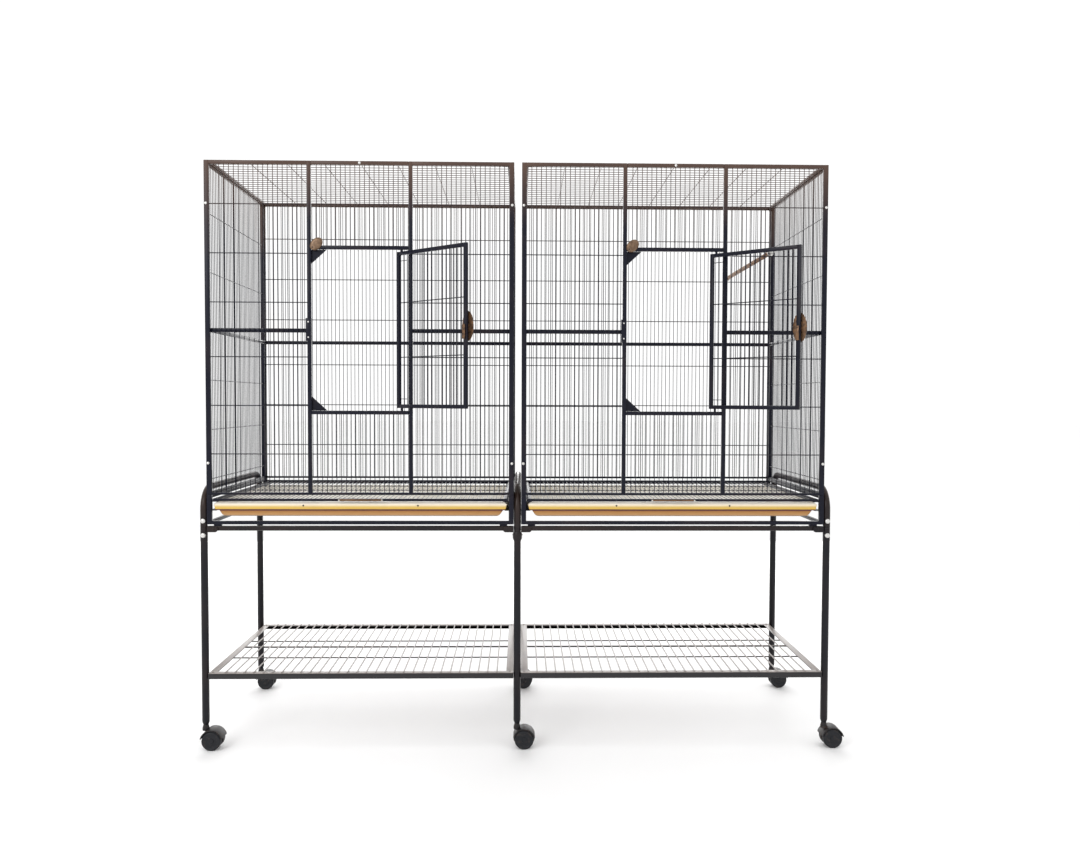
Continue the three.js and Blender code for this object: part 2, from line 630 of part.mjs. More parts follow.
function door() {
  const half = DOOR_THICKNESS / 2;
  const thickness = [-half, half];
  const plane = WIRE_PLANE - FRAME_DEPTH / 2;
  const rowPlane = ROW_PLANE - FRAME_DEPTH / 2;
  const middle = DOOR_HEIGHT / 2;
  const levels = [middle + ROW_START, middle - ROW_START];
  const columns = spread(DOOR_FREE + DOOR_RAIL, PIN_INSET - DOOR_RAIL, WIRE_PITCH);
  const lowerPin = [-DOOR_BOTTOM_GAP - PIN_SEAT, DOOR_RAIL / 2];
  const upperPin = [DOOR_HEIGHT - DOOR_RAIL / 2, DOOR_HEIGHT + DOOR_TOP_GAP + PIN_SEAT];
  return join([
    box([DOOR_FREE, DOOR_FREE + DOOR_RAIL], thickness, [0, DOOR_HEIGHT]),
    box([PIN_INSET - DOOR_RAIL, PIN_INSET], thickness, [0, DOOR_HEIGHT]),
    box([LATCH_X, PIN_INSET - DOOR_RAIL / 2], thickness, [0, DOOR_RAIL]),
    box([LATCH_X, PIN_INSET - DOOR_RAIL / 2], thickness, [DOOR_HEIGHT - DOOR_RAIL, DOOR_HEIGHT]),
    ...wires(columns, DOOR_RAIL, DOOR_HEIGHT - DOOR_RAIL, plane),
    ...rows(levels, DOOR_FREE + DOOR_RAIL, PIN_INSET - DOOR_RAIL, rowPlane),
    rod('z', lowerPin, [0, 0], PIN_RADIUS),
    rod('z', upperPin, [0, 0], PIN_RADIUS),
  ]).subtract(turningHole('y', [-half - EMBED, half + EMBED], [LATCH_X, middle],
    LATCH_SHAFT_RADIUS));
}

// Latch: an oval handle outside, a shaft through the door's stile and a tongue inside. The handle
// passes over the keeper as the door shuts, so a boss holds it off the door. The latch's frame is
// the door's, with its origin on the shaft.
function latch() {
  const face = -DOOR_THICKNESS / 2 - TOUCH_GAP;
  const front = face - KEEPER_THICKNESS - TOUCH_GAP;
  const back = FRAME_DEPTH - DOOR_THICKNESS / 2 + TOUCH_GAP;
  const oval = ellipse(0, 0, HANDLE_WIDTH / 2, HANDLE_LENGTH / 2);
  const crown = ellipse(0, 0, HANDLE_WIDTH / 2 - HANDLE_EDGE, HANDLE_LENGTH / 2 - HANDLE_END);
  const skirt = HANDLE_THICKNESS / 2;
  return join([
    plate(oval, [front - skirt, front]),
    plate(crown, [front - HANDLE_THICKNESS, front - skirt + EMBED]),
    rod('y', [front - EMBED, face], [0, 0], LATCH_BOSS_RADIUS),
    rod('y', [face - EMBED, back + EMBED], [0, 0], LATCH_SHAFT_RADIUS, 8),
    box([-TONGUE_WIDTH / 2, TONGUE_WIDTH / 2], [back, back + TONGUE_THICKNESS],
      [-TONGUE_LENGTH, TONGUE_WIDTH / 2]),
  ]);
}

// Pivot of the turn button, from the cage's left side and bottom.
function buttonPivot() {
  return [DOORWAY_LEFT + BUTTON_OFFSET, DOORWAY_SILL + DOORWAY_HEIGHT + DOOR_BAR / 2];
}

// Oval turn button with its screw, pointing along +X from its pivot.
function turnButton() {
  const middle = BUTTON_LENGTH / 2 - BUTTON_PIVOT_INSET;
  const oval = ellipse(middle, 0, BUTTON_LENGTH / 2, BUTTON_WIDTH / 2);
  const crown = ellipse(middle, 0, BUTTON_LENGTH / 2 - BUTTON_EDGE,
    BUTTON_WIDTH / 2 - BUTTON_EDGE);
  const skirt = BUTTON_THICKNESS / 2;
  return join([
    plate(oval, [-skirt - TOUCH_GAP, -TOUCH_GAP]),
    plate(crown, [-BUTTON_THICKNESS - TOUCH_GAP, -skirt]),
    rod('y', [-EMBED - TOUCH_GAP, FRAME_DEPTH + EMBED], [0, 0], BUTTON_SCREW_RADIUS, 8),
    rod('y', [FRAME_DEPTH + TOUCH_GAP, FRAME_DEPTH + TOUCH_GAP + BUTTON_NUT_THICKNESS], [0, 0],
      BUTTON_NUT_RADIUS, 6),
  ]);
}

// ---- Stand --------------------------------------------------------------------------------------------

// Centre line through a list of points, with one step for each stretch.
class PointPath extends THREE.Curve {
  constructor(points) {
    super();
    this.points = points;
  }

  getPoint(t, target = new THREE.Vector3()) {
    const place = Math.min(t, 1) * (this.points.length - 1);
    const index = Math.min(Math.floor(place), this.points.length - 2);
    return target.lerpVectors(this.points[index], this.points[index + 1], place - index);
  }

  getUtoTmapping(u) {
    return u;
  }
}

// Tube of a given radius along a list of points.
function tubeAlong(points, radius, sides) {
  const section = new THREE.Shape();
  for (let index = 0; index < sides; index += 1) {
    const angle = (index / sides) * 2 * Math.PI;
    const [x, y] = [radius * Math.cos(angle), radius * Math.sin(angle)];
    if (index === 0) {
      section.moveTo(x, y);
    } else {
      section.lineTo(x, y);
    }
  }
  return solidOf(new THREE.ExtrudeGeometry(section, {
    steps: points.length - 1,
    extrudePath: new PointPath(points),
    bevelEnabled: false,
  }));
}

// Bright bolt on the front or the rear of an upright tube.
function tubeBolt(facing, z) {
  const y = facing * LEG_SPREAD / 2;
  const head = [y, y + facing * (TUBE_RADIUS + STAND_BOLT_HEAD)].sort((a, b) => a - b);
  return rod('y', head, [0, z], STAND_BOLT_RADIUS, 8);
}

// Hoop: an upside-down U over the legs, from one joint to the other, with Z from the joints.
function hoop(bolted) {
  const half = LEG_SPREAD / 2;
  const low = TOUCH_GAP / 2;
  const steps = 5;
  const points = [new THREE.Vector3(0, -half, low)];
  for (let index = 0; index <= steps; index += 1) {
    const angle = (index / steps) * Math.PI / 2;
    const y = -half + HOOP_BEND * (1 - Math.cos(angle));
    points.push(new THREE.Vector3(0, y, HOOP_HEIGHT - HOOP_BEND * (1 - Math.sin(angle))));
  }
  for (let index = 0; index <= steps; index += 1) {
    const angle = (index / steps) * Math.PI / 2;
    const y = half - HOOP_BEND * (1 - Math.sin(angle));
    points.push(new THREE.Vector3(0, y, HOOP_HEIGHT - HOOP_BEND * (1 - Math.cos(angle))));
  }
  points.push(new THREE.Vector3(0, half, low));
  const tube = tubeAlong(points, TUBE_RADIUS, 10);
  if (!bolted) {
    return tube;
  }
  return join([tube, tubeBolt(-1, STAND_BOLT_OFFSET), tubeBolt(1, STAND_BOLT_OFFSET)]);
}

// Leg from the joint down to its caster, with a socket for the caster's stem. An outer leg has a
// bolt under the joint, and a middle leg has a collar. Z is from the leg's bottom.
function leg(facing, outer) {
  const y = facing * LEG_SPREAD / 2;
  const top = LEG_HEIGHT - TOUCH_GAP / 2;
  const collarTop = LEG_HEIGHT - RAIL_DROP - LUG_DROP - TOUCH_GAP;
  const tube = rod('z', [0, top], [0, y], TUBE_RADIUS);
  const fitting = outer
    ? tubeBolt(facing, LEG_HEIGHT - STAND_BOLT_OFFSET)
    : rod('z', [collarTop - COLLAR_HEIGHT, collarTop], [0, y], COLLAR_RADIUS);
  const socket = turningHole('z', [-EMBED, STEM_LENGTH + EMBED], [0, y], STEM_RADIUS);
  return tube.add(fitting).subtract(socket);
}

// Rail between two hoops, with a lug at each end on its outer face.
function standRail(facing) {
  const length = HOOP_OFFSET - 2 * TUBE_RADIUS - 2 * TOUCH_GAP;
  const half = RAIL_HEIGHT / 2;
  const face = facing * half;
  const lugFace = [face - facing * EMBED, face + facing * LUG_THICKNESS].sort((a, b) => a - b);
  const lugRise = [-LUG_DROP, RAIL_HEIGHT - LUG_TOP];
  return join([
    box([-length / 2, length / 2], [-half, half], [0, RAIL_HEIGHT]),
    box([-length / 2, LUG_LENGTH - length / 2], lugFace, lugRise),
    box([length / 2 - LUG_LENGTH, length / 2], lugFace, lugRise),
  ]);
}

// Shelf: four angle irons round a row of wires, with rods under them.
function shelf() {
  const length = HOOP_OFFSET - 2 * TUBE_RADIUS - 2 * TOUCH_GAP;
  const top = [-SHELF_SHEET, 0];
  const skirt = [-SHELF_RAIL_HEIGHT, 0];
  const [x0, x1] = [-length / 2, length / 2];
  const [y0, y1] = [-HALF_DEPTH, HALF_DEPTH];
  const wireLevel = -FLAT_WIRE_RADIUS - TOUCH_GAP;
  const rodLevel = wireLevel - 2 * FLAT_WIRE_RADIUS - WIRE_RADIUS;
  const solids = [
    box([x0, x1], [y0, y0 + SHELF_FLANGE], top),
    box([x0, x1], [y1 - SHELF_FLANGE, y1], top),
    box([x0, x0 + SHELF_FLANGE], [y0, y1], top),
    box([x1 - SHELF_FLANGE, x1], [y0, y1], top),
    box([x0, x1], [y0, y0 + SHELF_SHEET], skirt),
    box([x0, x1], [y1 - SHELF_SHEET, y1], skirt),
    box([x0, x0 + SHELF_SHEET], [y0, y1], skirt),
    box([x1 - SHELF_SHEET, x1], [y0, y1], skirt),
  ];
  for (const x of spread(x0 + SHELF_FLANGE, x1 - SHELF_FLANGE, SHELF_PITCH)) {
    const run = [y0 + SHELF_FLANGE - EMBED, y1 - SHELF_FLANGE + EMBED];
    solids.push(rod('y', run, [x, wireLevel], FLAT_WIRE_RADIUS, 3));
  }
  for (const y of spread(y0, y1, CAGE_DEPTH / SHELF_BAYS)) {
    const run = [x0 + SHELF_SHEET - EMBED, x1 - SHELF_SHEET + EMBED];
    solids.push(rod('x', run, [y, rodLevel], WIRE_RADIUS, 3));
  }
  return join(solids);
}

// ---- Casters ------------------------------------------------------------------------------------------
// A caster's frame has its origin on the ground under the stem, with the wheels trailing to +X.

// Stem, boss, centre web and hood.
function casterBody() {
  const webHalf = WHEEL_GAP / 2 - TOUCH_GAP;
  const hoodRadius = WHEEL_RADIUS + HOOD_GAP;
  const bossTop = CASTER_HEIGHT - TOUCH_GAP;
  const halfWidth = WHEEL_PAIR_WIDTH / 2;
  const shell = rod('y', [-halfWidth, halfWidth], [CASTER_TRAIL, WHEEL_RADIUS],
    hoodRadius + HOOD_THICKNESS, ROUND_SIDES);
  const room = rod('y', [-halfWidth - EMBED, halfWidth + EMBED], [CASTER_TRAIL, WHEEL_RADIUS],
    hoodRadius, ROUND_SIDES);
  const reach = 2 * hoodRadius;
  const below = box([CASTER_TRAIL - reach, CASTER_TRAIL + reach], [-reach, reach],
    [WHEEL_RADIUS - reach, WHEEL_RADIUS + HOOD_BOTTOM]);
  const hood = shell.subtract(room).subtract(below);
  const web = rod('y', [-webHalf, webHalf], [CASTER_TRAIL, WHEEL_RADIUS], hoodRadius + EMBED,
    ROUND_SIDES)
    .subtract(box([CASTER_TRAIL - reach, CASTER_TRAIL + reach], [-reach, reach],
      [WHEEL_RADIUS - reach, WHEEL_RADIUS - WEB_RADIUS / 2]));
  const bossBottom = WHEEL_RADIUS + hoodRadius - CASTER_BOSS_ROOT;
  const boss = rod('z', [bossBottom, bossTop], [0, 0], CASTER_BOSS_RADIUS, 10).subtract(room);
  const stem = rod('z', [bossTop - EMBED, CASTER_HEIGHT + STEM_LENGTH], [0, 0], STEM_RADIUS, 8);
  const bore = turningHole('y', [-webHalf - EMBED, webHalf + EMBED],
    [CASTER_TRAIL, WHEEL_RADIUS], AXLE_RADIUS);
  return join([hood, web, boss, stem]).subtract(bore);
}

// Two wheels on one axle.
function wheelPair() {
  const inside = WHEEL_GAP / 2;
  const outside = WHEEL_PAIR_WIDTH / 2;
  return join([
    rod('y', [-outside, -inside], [0, 0], WHEEL_RADIUS, ROUND_SIDES),
    rod('y', [inside, outside], [0, 0], WHEEL_RADIUS, ROUND_SIDES),
    rod('y', [-inside - EMBED, inside + EMBED], [0, 0], AXLE_RADIUS, 8),
  ]);
}

// ---- Perch --------------------------------------------------------------------------------------------

// Dowel between the front and the back wall, screwed through the wires at both ends.
function perch() {
  const inside = HALF_DEPTH - FRAME_DEPTH - PERCH_WASHER_GAP;
  const half = inside - PERCH_WASHER_THICKNESS;
  const nut = HALF_DEPTH - EMBED;
  const screw = nut + PERCH_NUT_THICKNESS / 2;
  return join([
    rod('y', [-half - EMBED, half + EMBED], [0, 0], PERCH_RADIUS, 10),
    rod('y', [-screw, screw], [0, 0], PERCH_SCREW_RADIUS, 8),
    rod('y', [-inside, -half], [0, 0], PERCH_WASHER_RADIUS, 10),
    rod('y', [half, inside], [0, 0], PERCH_WASHER_RADIUS, 10),
    rod('y', [-nut - PERCH_NUT_THICKNESS, -nut], [0, 0], PERCH_NUT_RADIUS, 8),
    rod('y', [nut, nut + PERCH_NUT_THICKNESS], [0, 0], PERCH_NUT_RADIUS, 8),
  ]);
}

// ---- Assembly -----------------------------------------------------------------------------------------

// One cage with its base, drawers, door, latch and button. Its left side stands at x.
function cage(side, x) {
  const group = new THREE.Group();
  const front = -HALF_DEPTH;
  const name = (part) => `${part}_${side}`;
  const along = [1, 0, 0];
  const back = [0, 1, 0];
  const down = [0, 0, -1];
  const inset = FRAME_DEPTH + TOUCH_GAP;
  group.position.set(x, 0, 0);
  group.add(
    place(piece(name('front_latch_column'), frontLatchColumn(), 'frame'),
      [0, front, CAGE_LEVEL], along, back),
    place(piece(name('front_hinge_column'), frontHingeColumn(), 'frame'),
      [UPRIGHT_RIGHT, front, CAGE_LEVEL], along, back),
    place(piece(name('grille_over_door'), grilleOver(), 'frame'),
      [DOORWAY_LEFT, front, CAGE_LEVEL], along, back),
    place(piece(name('grille_under_door'), grilleUnder(), 'frame'),
      [DOORWAY_LEFT, front, CAGE_LEVEL], along, back),
    place(piece(name('back_wall'), backWall(), 'frame'),
      [CAGE_WIDTH, HALF_DEPTH, CAGE_LEVEL], [-1, 0, 0], [0, -1, 0]),
    place(piece(name('left_wall'), sideWall(), 'frame'),
      [0, HALF_DEPTH - inset, CAGE_LEVEL], [0, -1, 0], [1, 0, 0]),
    place(piece(name('right_wall'), sideWall(), 'frame'),
      [CAGE_WIDTH, -HALF_DEPTH + inset, CAGE_LEVEL], [0, 1, 0], [-1, 0, 0]),
    place(piece(name('roof'), roof(), 'frame'),
      [inset, HALF_DEPTH - inset, CAGE_LEVEL + CAGE_HEIGHT], [0, -1, 0], down),
    place(piece(name('base'), base(), 'frame'), [0, front, BASE_LEVEL], along, back),
    place(piece(name('wire_floor'), wireFloor(), 'frame'),
      [(CAGE_WIDTH - DRAWER_WIDTH) / 2, front + DRAWER_RECESS, FLOOR_LEVEL + FLOOR_FRAME],
      along, down),
    place(piece(name('tray'), tray(), 'tray'),
      [CAGE_WIDTH / 2, front + DRAWER_RECESS, TRAY_SHOULDER], along, back),
    doorway(name),
  );
  const [buttonX, buttonZ] = buttonPivot();
  const button = piece(name('turn_button'), turnButton(), 'button');
  button.position.set(buttonX, front, CAGE_LEVEL + buttonZ);
  button.rotation.y = -THREE.MathUtils.degToRad(BUTTON_ANGLE);
  group.add(button);
  return group;
}

// Door and latch, swung open about the door's pivot.
function doorway(name) {
  const swing = new THREE.Group();
  const pivotX = DOORWAY_LEFT + DOORWAY_WIDTH - DOOR_SIDE_GAP - PIN_INSET;
  const bottom = CAGE_LEVEL + DOORWAY_SILL + DOOR_BOTTOM_GAP;
  swing.position.set(pivotX, -HALF_DEPTH + DOOR_THICKNESS / 2, bottom);
  swing.rotation.z = THREE.MathUtils.degToRad(DOOR_OPEN);
  const handle = piece(name('door_latch'), latch(), 'bronze');
  handle.position.set(LATCH_X, 0, DOOR_HEIGHT / 2);
  swing.add(piece(name('door'), door(), 'frame'), handle);
  return swing;
}

// Hoops, legs, rails, shelves and casters.
function stand() {
  const group = new THREE.Group();
  const columns = [['left', -HOOP_OFFSET], ['middle', 0], ['right', HOOP_OFFSET]];
  for (const [side, x] of columns) {
    const outer = side !== 'middle';
    const arch = piece(`hoop_${side}`, hoop(outer), 'frame');
    arch.position.set(x, 0, JOINT_LEVEL);
    group.add(arch);
    for (const [end, facing] of [['front', -1], ['rear', 1]]) {
      const upright = piece(`leg_${end}_${side}`, leg(facing, outer), 'frame');
      upright.position.set(x, 0, CASTER_HEIGHT);
      const fork = piece(`caster_${end}_${side}`, casterBody(), 'caster');
      fork.position.set(x, facing * LEG_SPREAD / 2, 0);
      const wheels = piece(`wheels_${end}_${side}`, wheelPair(), 'caster');
      wheels.position.set(x + CASTER_TRAIL, facing * LEG_SPREAD / 2, WHEEL_RADIUS);
      group.add(upright, fork, wheels);
    }
  }
  for (const [side, x] of [['left', -HOOP_OFFSET / 2], ['right', HOOP_OFFSET / 2]]) {
    for (const [end, facing] of [['front', -1], ['rear', 1]]) {
      const rail = piece(`rail_${end}_${side}`, standRail(facing), 'frame');
      rail.position.set(x, facing * LEG_SPREAD / 2, JOINT_LEVEL - RAIL_DROP);
      group.add(rail);
    }
    const rack = piece(`shelf_${side}`, shelf(), 'shelf');
    rack.position.set(x, 0, SHELF_LEVEL);
    group.add(rack);
  }
  return group;
}

const whole = new THREE.Group();
const dowel = piece('perch', perch(), 'wood');
dowel.position.set(CAGE_SPACING / 2 + CAGE_WIDTH - PERCH_INSET, 0, CAGE_LEVEL + PERCH_LEVEL);
whole.add(
  stand(),
  cage('left', -CAGE_SPACING / 2 - CAGE_WIDTH),
  cage('right', CAGE_SPACING / 2),
  dowel,
);

// The origin is on the ground in the middle of the whole object's outline.
whole.updateMatrixWorld(true);
const reach = new THREE.Box3().setFromObject(whole, true);
const middle = reach.getCenter(new THREE.Vector3());
whole.position.set(-middle.x, -middle.y, -reach.min.z);
whole.updateMatrixWorld(true);

export default whole;
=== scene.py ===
# %% [markdown]
# This script gives a double bird cage on a wheeled stand its looks. Two equal wire cages stand
# side by side between three bent tubes. Six legs with casters carry them, and two wire shelves
# join the legs. Every cage has a swinging door, a sliding wire floor and a golden tray.
#
# A CAD model gives each solid its size, its place and its joint. The script loads it first as a
# fixed frame. The CAD solids are plain: they have every second wire only, with three flat sides,
# and their bars have sharp edges. So each one is replaced by a finer piece on the same spot.

import json
import math

import bmesh
import bpy
from mathutils import Matrix, Vector


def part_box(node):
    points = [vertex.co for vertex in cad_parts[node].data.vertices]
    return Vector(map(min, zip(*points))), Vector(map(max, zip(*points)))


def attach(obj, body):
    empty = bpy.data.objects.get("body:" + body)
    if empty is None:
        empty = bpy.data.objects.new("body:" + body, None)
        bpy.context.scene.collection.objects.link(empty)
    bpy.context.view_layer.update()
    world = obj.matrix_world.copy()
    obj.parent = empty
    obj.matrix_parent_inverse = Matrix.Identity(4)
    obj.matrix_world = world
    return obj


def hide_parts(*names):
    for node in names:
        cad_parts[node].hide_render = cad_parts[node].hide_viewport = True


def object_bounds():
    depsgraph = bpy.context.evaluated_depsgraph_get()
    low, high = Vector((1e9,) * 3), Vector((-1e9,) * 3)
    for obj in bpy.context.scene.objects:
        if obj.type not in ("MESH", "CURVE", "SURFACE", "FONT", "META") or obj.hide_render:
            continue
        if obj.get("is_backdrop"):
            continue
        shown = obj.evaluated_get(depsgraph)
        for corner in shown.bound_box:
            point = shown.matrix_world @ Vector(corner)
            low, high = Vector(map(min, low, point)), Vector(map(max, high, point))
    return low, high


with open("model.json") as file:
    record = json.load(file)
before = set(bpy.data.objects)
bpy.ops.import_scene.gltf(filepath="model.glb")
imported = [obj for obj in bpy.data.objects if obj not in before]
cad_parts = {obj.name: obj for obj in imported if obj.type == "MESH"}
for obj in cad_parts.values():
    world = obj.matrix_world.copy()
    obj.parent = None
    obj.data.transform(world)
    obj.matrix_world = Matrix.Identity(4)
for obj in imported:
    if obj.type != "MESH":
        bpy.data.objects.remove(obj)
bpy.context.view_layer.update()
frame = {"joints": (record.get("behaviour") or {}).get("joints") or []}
joints = {joint["name"]: joint for joint in frame["joints"]}

# %% [markdown]
# Blender works in metres, and sizes of metal furniture read best in millimetres. So every size
# is written as a number of millimetres times one constant. The sizes below are shared by several
# pieces. Those that belong to one piece only stand beside it, further down.

# %% Sizes that several pieces share
MM = 0.001
GAP = 0.3 * MM
HAIR = 0.2 * MM
EMBED = 1 * MM
WALL = 10 * MM
CORNER = 13 * MM
UPRIGHT = 10.5 * MM
RAIL = 10 * MM
SILL = 6 * MM
WIRE = 0.95 * MM
CROSS_WIRE = 1.3 * MM
WIRE_PITCH = 12.2 * MM
WIRE_PLANE = 3.8 * MM
CROSS_PLANE = WIRE_PLANE + 0.9 * (WIRE + CROSS_WIRE)
BAR_LEVEL = 430 * MM
BAR_HEIGHT = 11 * MM
BAR_FRONT = 8 * MM
BAR_BACK = 14 * MM
DOORWAY = 253 * MM
DOORWAY_BOTTOM = 221 * MM
DOORWAY_TOP = 640 * MM
DOOR_BAR = 10 * MM
DOOR_WIDTH = 250 * MM
DOOR_HEIGHT = 407.5 * MM
DOOR_BOTTOM_GAP = 7 * MM
PIN_INSET = 16.25 * MM
DOOR_MIDDLE = DOORWAY_BOTTOM + DOOR_BOTTOM_GAP + DOOR_HEIGHT / 2
TUBE = 9.5 * MM
PAN_DEPTH = 17 * MM
UP = Vector((0, 0, 1))
print("wires of", 2 * WIRE / MM, "mm at a pitch of", WIRE_PITCH / MM, "mm")

# %% [markdown]
# Places come from the CAD frame. A roof grille lies just inside the four walls of its cage, so
# its box, grown by one wall, gives the outline of the cage. The top of the drawer frame gives the
# level at which the wire body starts. The middle hoop gives the middle of the whole object.

# %% Find the two cages and the stand
SIDES = ("left", "right")


def cage_corners(side):
    """Lowest and highest corner of the wire body of one cage."""
    roof_low, roof_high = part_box(f"roof_{side}")
    inset = WALL + GAP
    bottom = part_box(f"base_{side}")[1].z + GAP
    low = Vector((roof_low.x - inset, roof_low.y - inset, bottom))
    return low, Vector((roof_high.x + inset, roof_high.y + inset, roof_high.z))


cages = {side: cage_corners(side) for side in SIDES}
cage_size = cages["left"][1] - cages["left"][0]
hoop_low, hoop_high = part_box("hoop_middle")
middle = (hoop_low + hoop_high) / 2
half_spread = (hoop_high.y - hoop_low.y) / 2 - TUBE
doorway_left = (cage_size.x - DOORWAY) / 2
print("one cage measures", [round(value / MM, 1) for value in cage_size], "mm")
print("middle of the object at", round(middle.x / MM, 1), round(middle.y / MM, 1))

# %% [markdown]
# The pieces are few kinds of shape, used many times: bars, wires, tubes and domed bolts. A helper
# for each kind keeps the rest of the script short. The first one makes a square bar from a cube
# and rounds all its edges with a bevel. A real bar has soft edges from its rolling and its coat
# of paint, and only a rounded edge catches the light as a thin bright line.


# %% Helper: a bar with soft edges
def bar(bm, low, high, soften=1.2 * MM):
    """Adds a bar between its lowest and its highest corner, with rounded edges."""
    low, high = Vector(low), Vector(high)
    size = high - low
    matrix = Matrix.Translation((low + high) / 2) @ Matrix.Diagonal((*size, 1))
    made = bmesh.ops.create_cube(bm, size=1, matrix=matrix)
    edges = {edge for vert in made["verts"] for edge in vert.link_edges}
    bmesh.ops.bevel(
        bm,
        geom=list(edges),
        offset=min(soften, 0.4 * min(size)),
        offset_type="OFFSET",
        affect="EDGES",
        segments=2,
        profile=0.5,
        material=-1,
    )


# %% [markdown]
# A wire is a thin cylinder between two points. Eight sides are enough, since a wire is only two
# to four millimetres thick and there are hundreds of them. A tube of the stand is seen larger,
# so it gets more sides and a small rounding at both rims, as a cut and painted tube has.


# %% Helpers: wires and straight tubes
def turn_to(direction):
    """Rotation that takes the Z axis to a direction."""
    return Vector(direction).to_track_quat("Z", "Y").to_matrix().to_4x4()


def wire(bm, start, end, radius=WIRE, sides=8):
    """Adds a round wire between two points."""
    start, end = Vector(start), Vector(end)
    along = end - start
    return bmesh.ops.create_cone(
        bm,
        cap_ends=True,
        segments=sides,
        radius1=radius,
        radius2=radius,
        depth=along.length,
        matrix=Matrix.Translation((start + end) / 2) @ turn_to(along),
    )["verts"]


def tube(bm, start, end, radius=TUBE, sides=24, rim=0.8 * MM):
    """Adds a straight tube with rounded rims."""
    verts = wire(bm, start, end, radius, sides)
    caps = {face for vert in verts for face in vert.link_faces if len(face.verts) > 4}
    edges = {edge for face in caps for edge in face.edges}
    bmesh.ops.bevel(
        bm,
        geom=list(edges),
        offset=rim,
        offset_type="OFFSET",
        affect="EDGES",
        segments=3,
        profile=0.5,
        material=-1,
    )


# %% [markdown]
# Bolt heads, wheels, collars and washers are turned shapes. On a lathe the maker cuts a profile,
# and the spin operator does the same: it takes a few points of a profile, given as a distance
# from the axis and a height along it, and sweeps them once round. The seam and the pole close
# when the doubled vertices are merged, which happens as the piece is finished.


# %% Helper: a turned shape
def turned(bm, profile, seat, outward, steps=16):
    """Turns a profile of (radius, height) points round an axis that leaves the seat."""
    seat, outward = Vector(seat), Vector(outward).normalized()
    matrix = Matrix.Translation(seat) @ turn_to(outward)
    verts = [bm.verts.new(matrix @ Vector((radius, 0, height))) for radius, height in profile]
    edges = [bm.edges.new(pair) for pair in zip(verts, verts[1:])]
    bmesh.ops.spin(
        bm,
        geom=verts + edges,
        cent=seat,
        axis=outward,
        dvec=(0, 0, 0),
        angle=2 * math.pi,
        steps=steps,
        use_merge=True,
        use_duplicate=False,
    )


def domed_bolt(bm, seat, outward, radius, height, steps=12):
    """Adds a domed bolt head on its seat, with a thin round collar under it."""
    profile = [
        (0, height),
        (0.45 * radius, 0.92 * height),
        (0.8 * radius, 0.62 * height),
        (0.97 * radius, 0.25 * height),
        (radius, 0),
        (radius, -EMBED),
        (0, -EMBED),
    ]
    turned(bm, profile, seat, outward, steps)


# %% [markdown]
# Flat oval parts, such as the door handle, are pressed from sheet. Their shape comes from one
# filled circle. It is stretched to an oval, then its face is extruded outwards in a few steps
# that each shrink the rim, so the edge rolls over softly and the top ends as a shallow crown. Only
# the first step keeps the face it started from, and that face closes the back.


# %% Helper: a pressed oval
def pressed_oval(bm, seat, half_width, half_height, steps, sides=32):
    """Adds an oval in the XZ plane that grows towards -Y. Each step is (height, shrink)."""
    seat = Vector(seat)
    stretch = Matrix.Diagonal((half_width, 1, half_height, 1))
    matrix = Matrix.Translation(seat) @ stretch @ turn_to((0, -1, 0))
    made = bmesh.ops.create_circle(bm, cap_ends=True, radius=1, segments=sides, matrix=matrix)
    face = made["verts"][0].link_faces[0]
    for number, (height, shrink) in enumerate(steps):
        closes_back = number == 0
        made = bmesh.ops.extrude_face_region(bm, geom=[face], use_keep_orig=closes_back)["geom"]
        face = [item for item in made if isinstance(item, bmesh.types.BMFace)][0]
        for vert in [item for item in made if isinstance(item, bmesh.types.BMVert)]:
            local = vert.co - seat
            reach = Vector((local.x / half_width, 0, local.z / half_height))
            reach = reach.normalized() * (1 - shrink)
            offset = Vector((reach.x * half_width, -height, reach.z * half_height))
            vert.co = seat + offset


# %% [markdown]
# A finished piece is one mesh object. Its vertices hold its place, and the object itself stays at
# the origin, unturned and unscaled, because the patterns of its finish follow its own
# coordinates. Merging doubles closes the seams of turned shapes, and the normals are worked out
# again after that, so that every face looks outwards. Curved faces shade smoothly, and any edge
# sharper than 38 degrees stays crisp.


# %% Helper: finish a piece
pieces = []


def finish_piece(name, bm, finish, body, stands_for=(), matrix=None):
    """Makes the mesh an object that rides on a CAD body and stands for its CAD nodes."""
    if matrix is not None:
        bmesh.ops.transform(bm, matrix=matrix, verts=bm.verts)
    bmesh.ops.remove_doubles(bm, verts=bm.verts, dist=1e-6)
    bmesh.ops.recalc_face_normals(bm, faces=bm.faces)
    mesh = bpy.data.meshes.new(name)
    bm.to_mesh(mesh)
    bm.free()
    mesh.shade_smooth()
    mesh.set_sharp_from_angle(angle=math.radians(38))
    mesh.materials.append(finish)
    piece = bpy.data.objects.new(name, mesh)
    bpy.context.scene.collection.objects.link(piece)
    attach(piece, body)
    if stands_for:
        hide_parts(*stands_for)
    pieces.append(piece)
    print(f"{name}: {len(mesh.polygons)} faces on {body}")
    return piece


# %% [markdown]
# Every finish is a node material, and much of it is arithmetic on patterns: a noise, times a
# strength, plus a base value. Written as Python sums this is short and easy to change. So one
# small class wraps a socket, and each sum on it adds the Math node that does the sum. A second
# class holds one material and adds any other node. It sets the node's own settings first, since
# they may change which sockets it has, and its sockets afterwards.


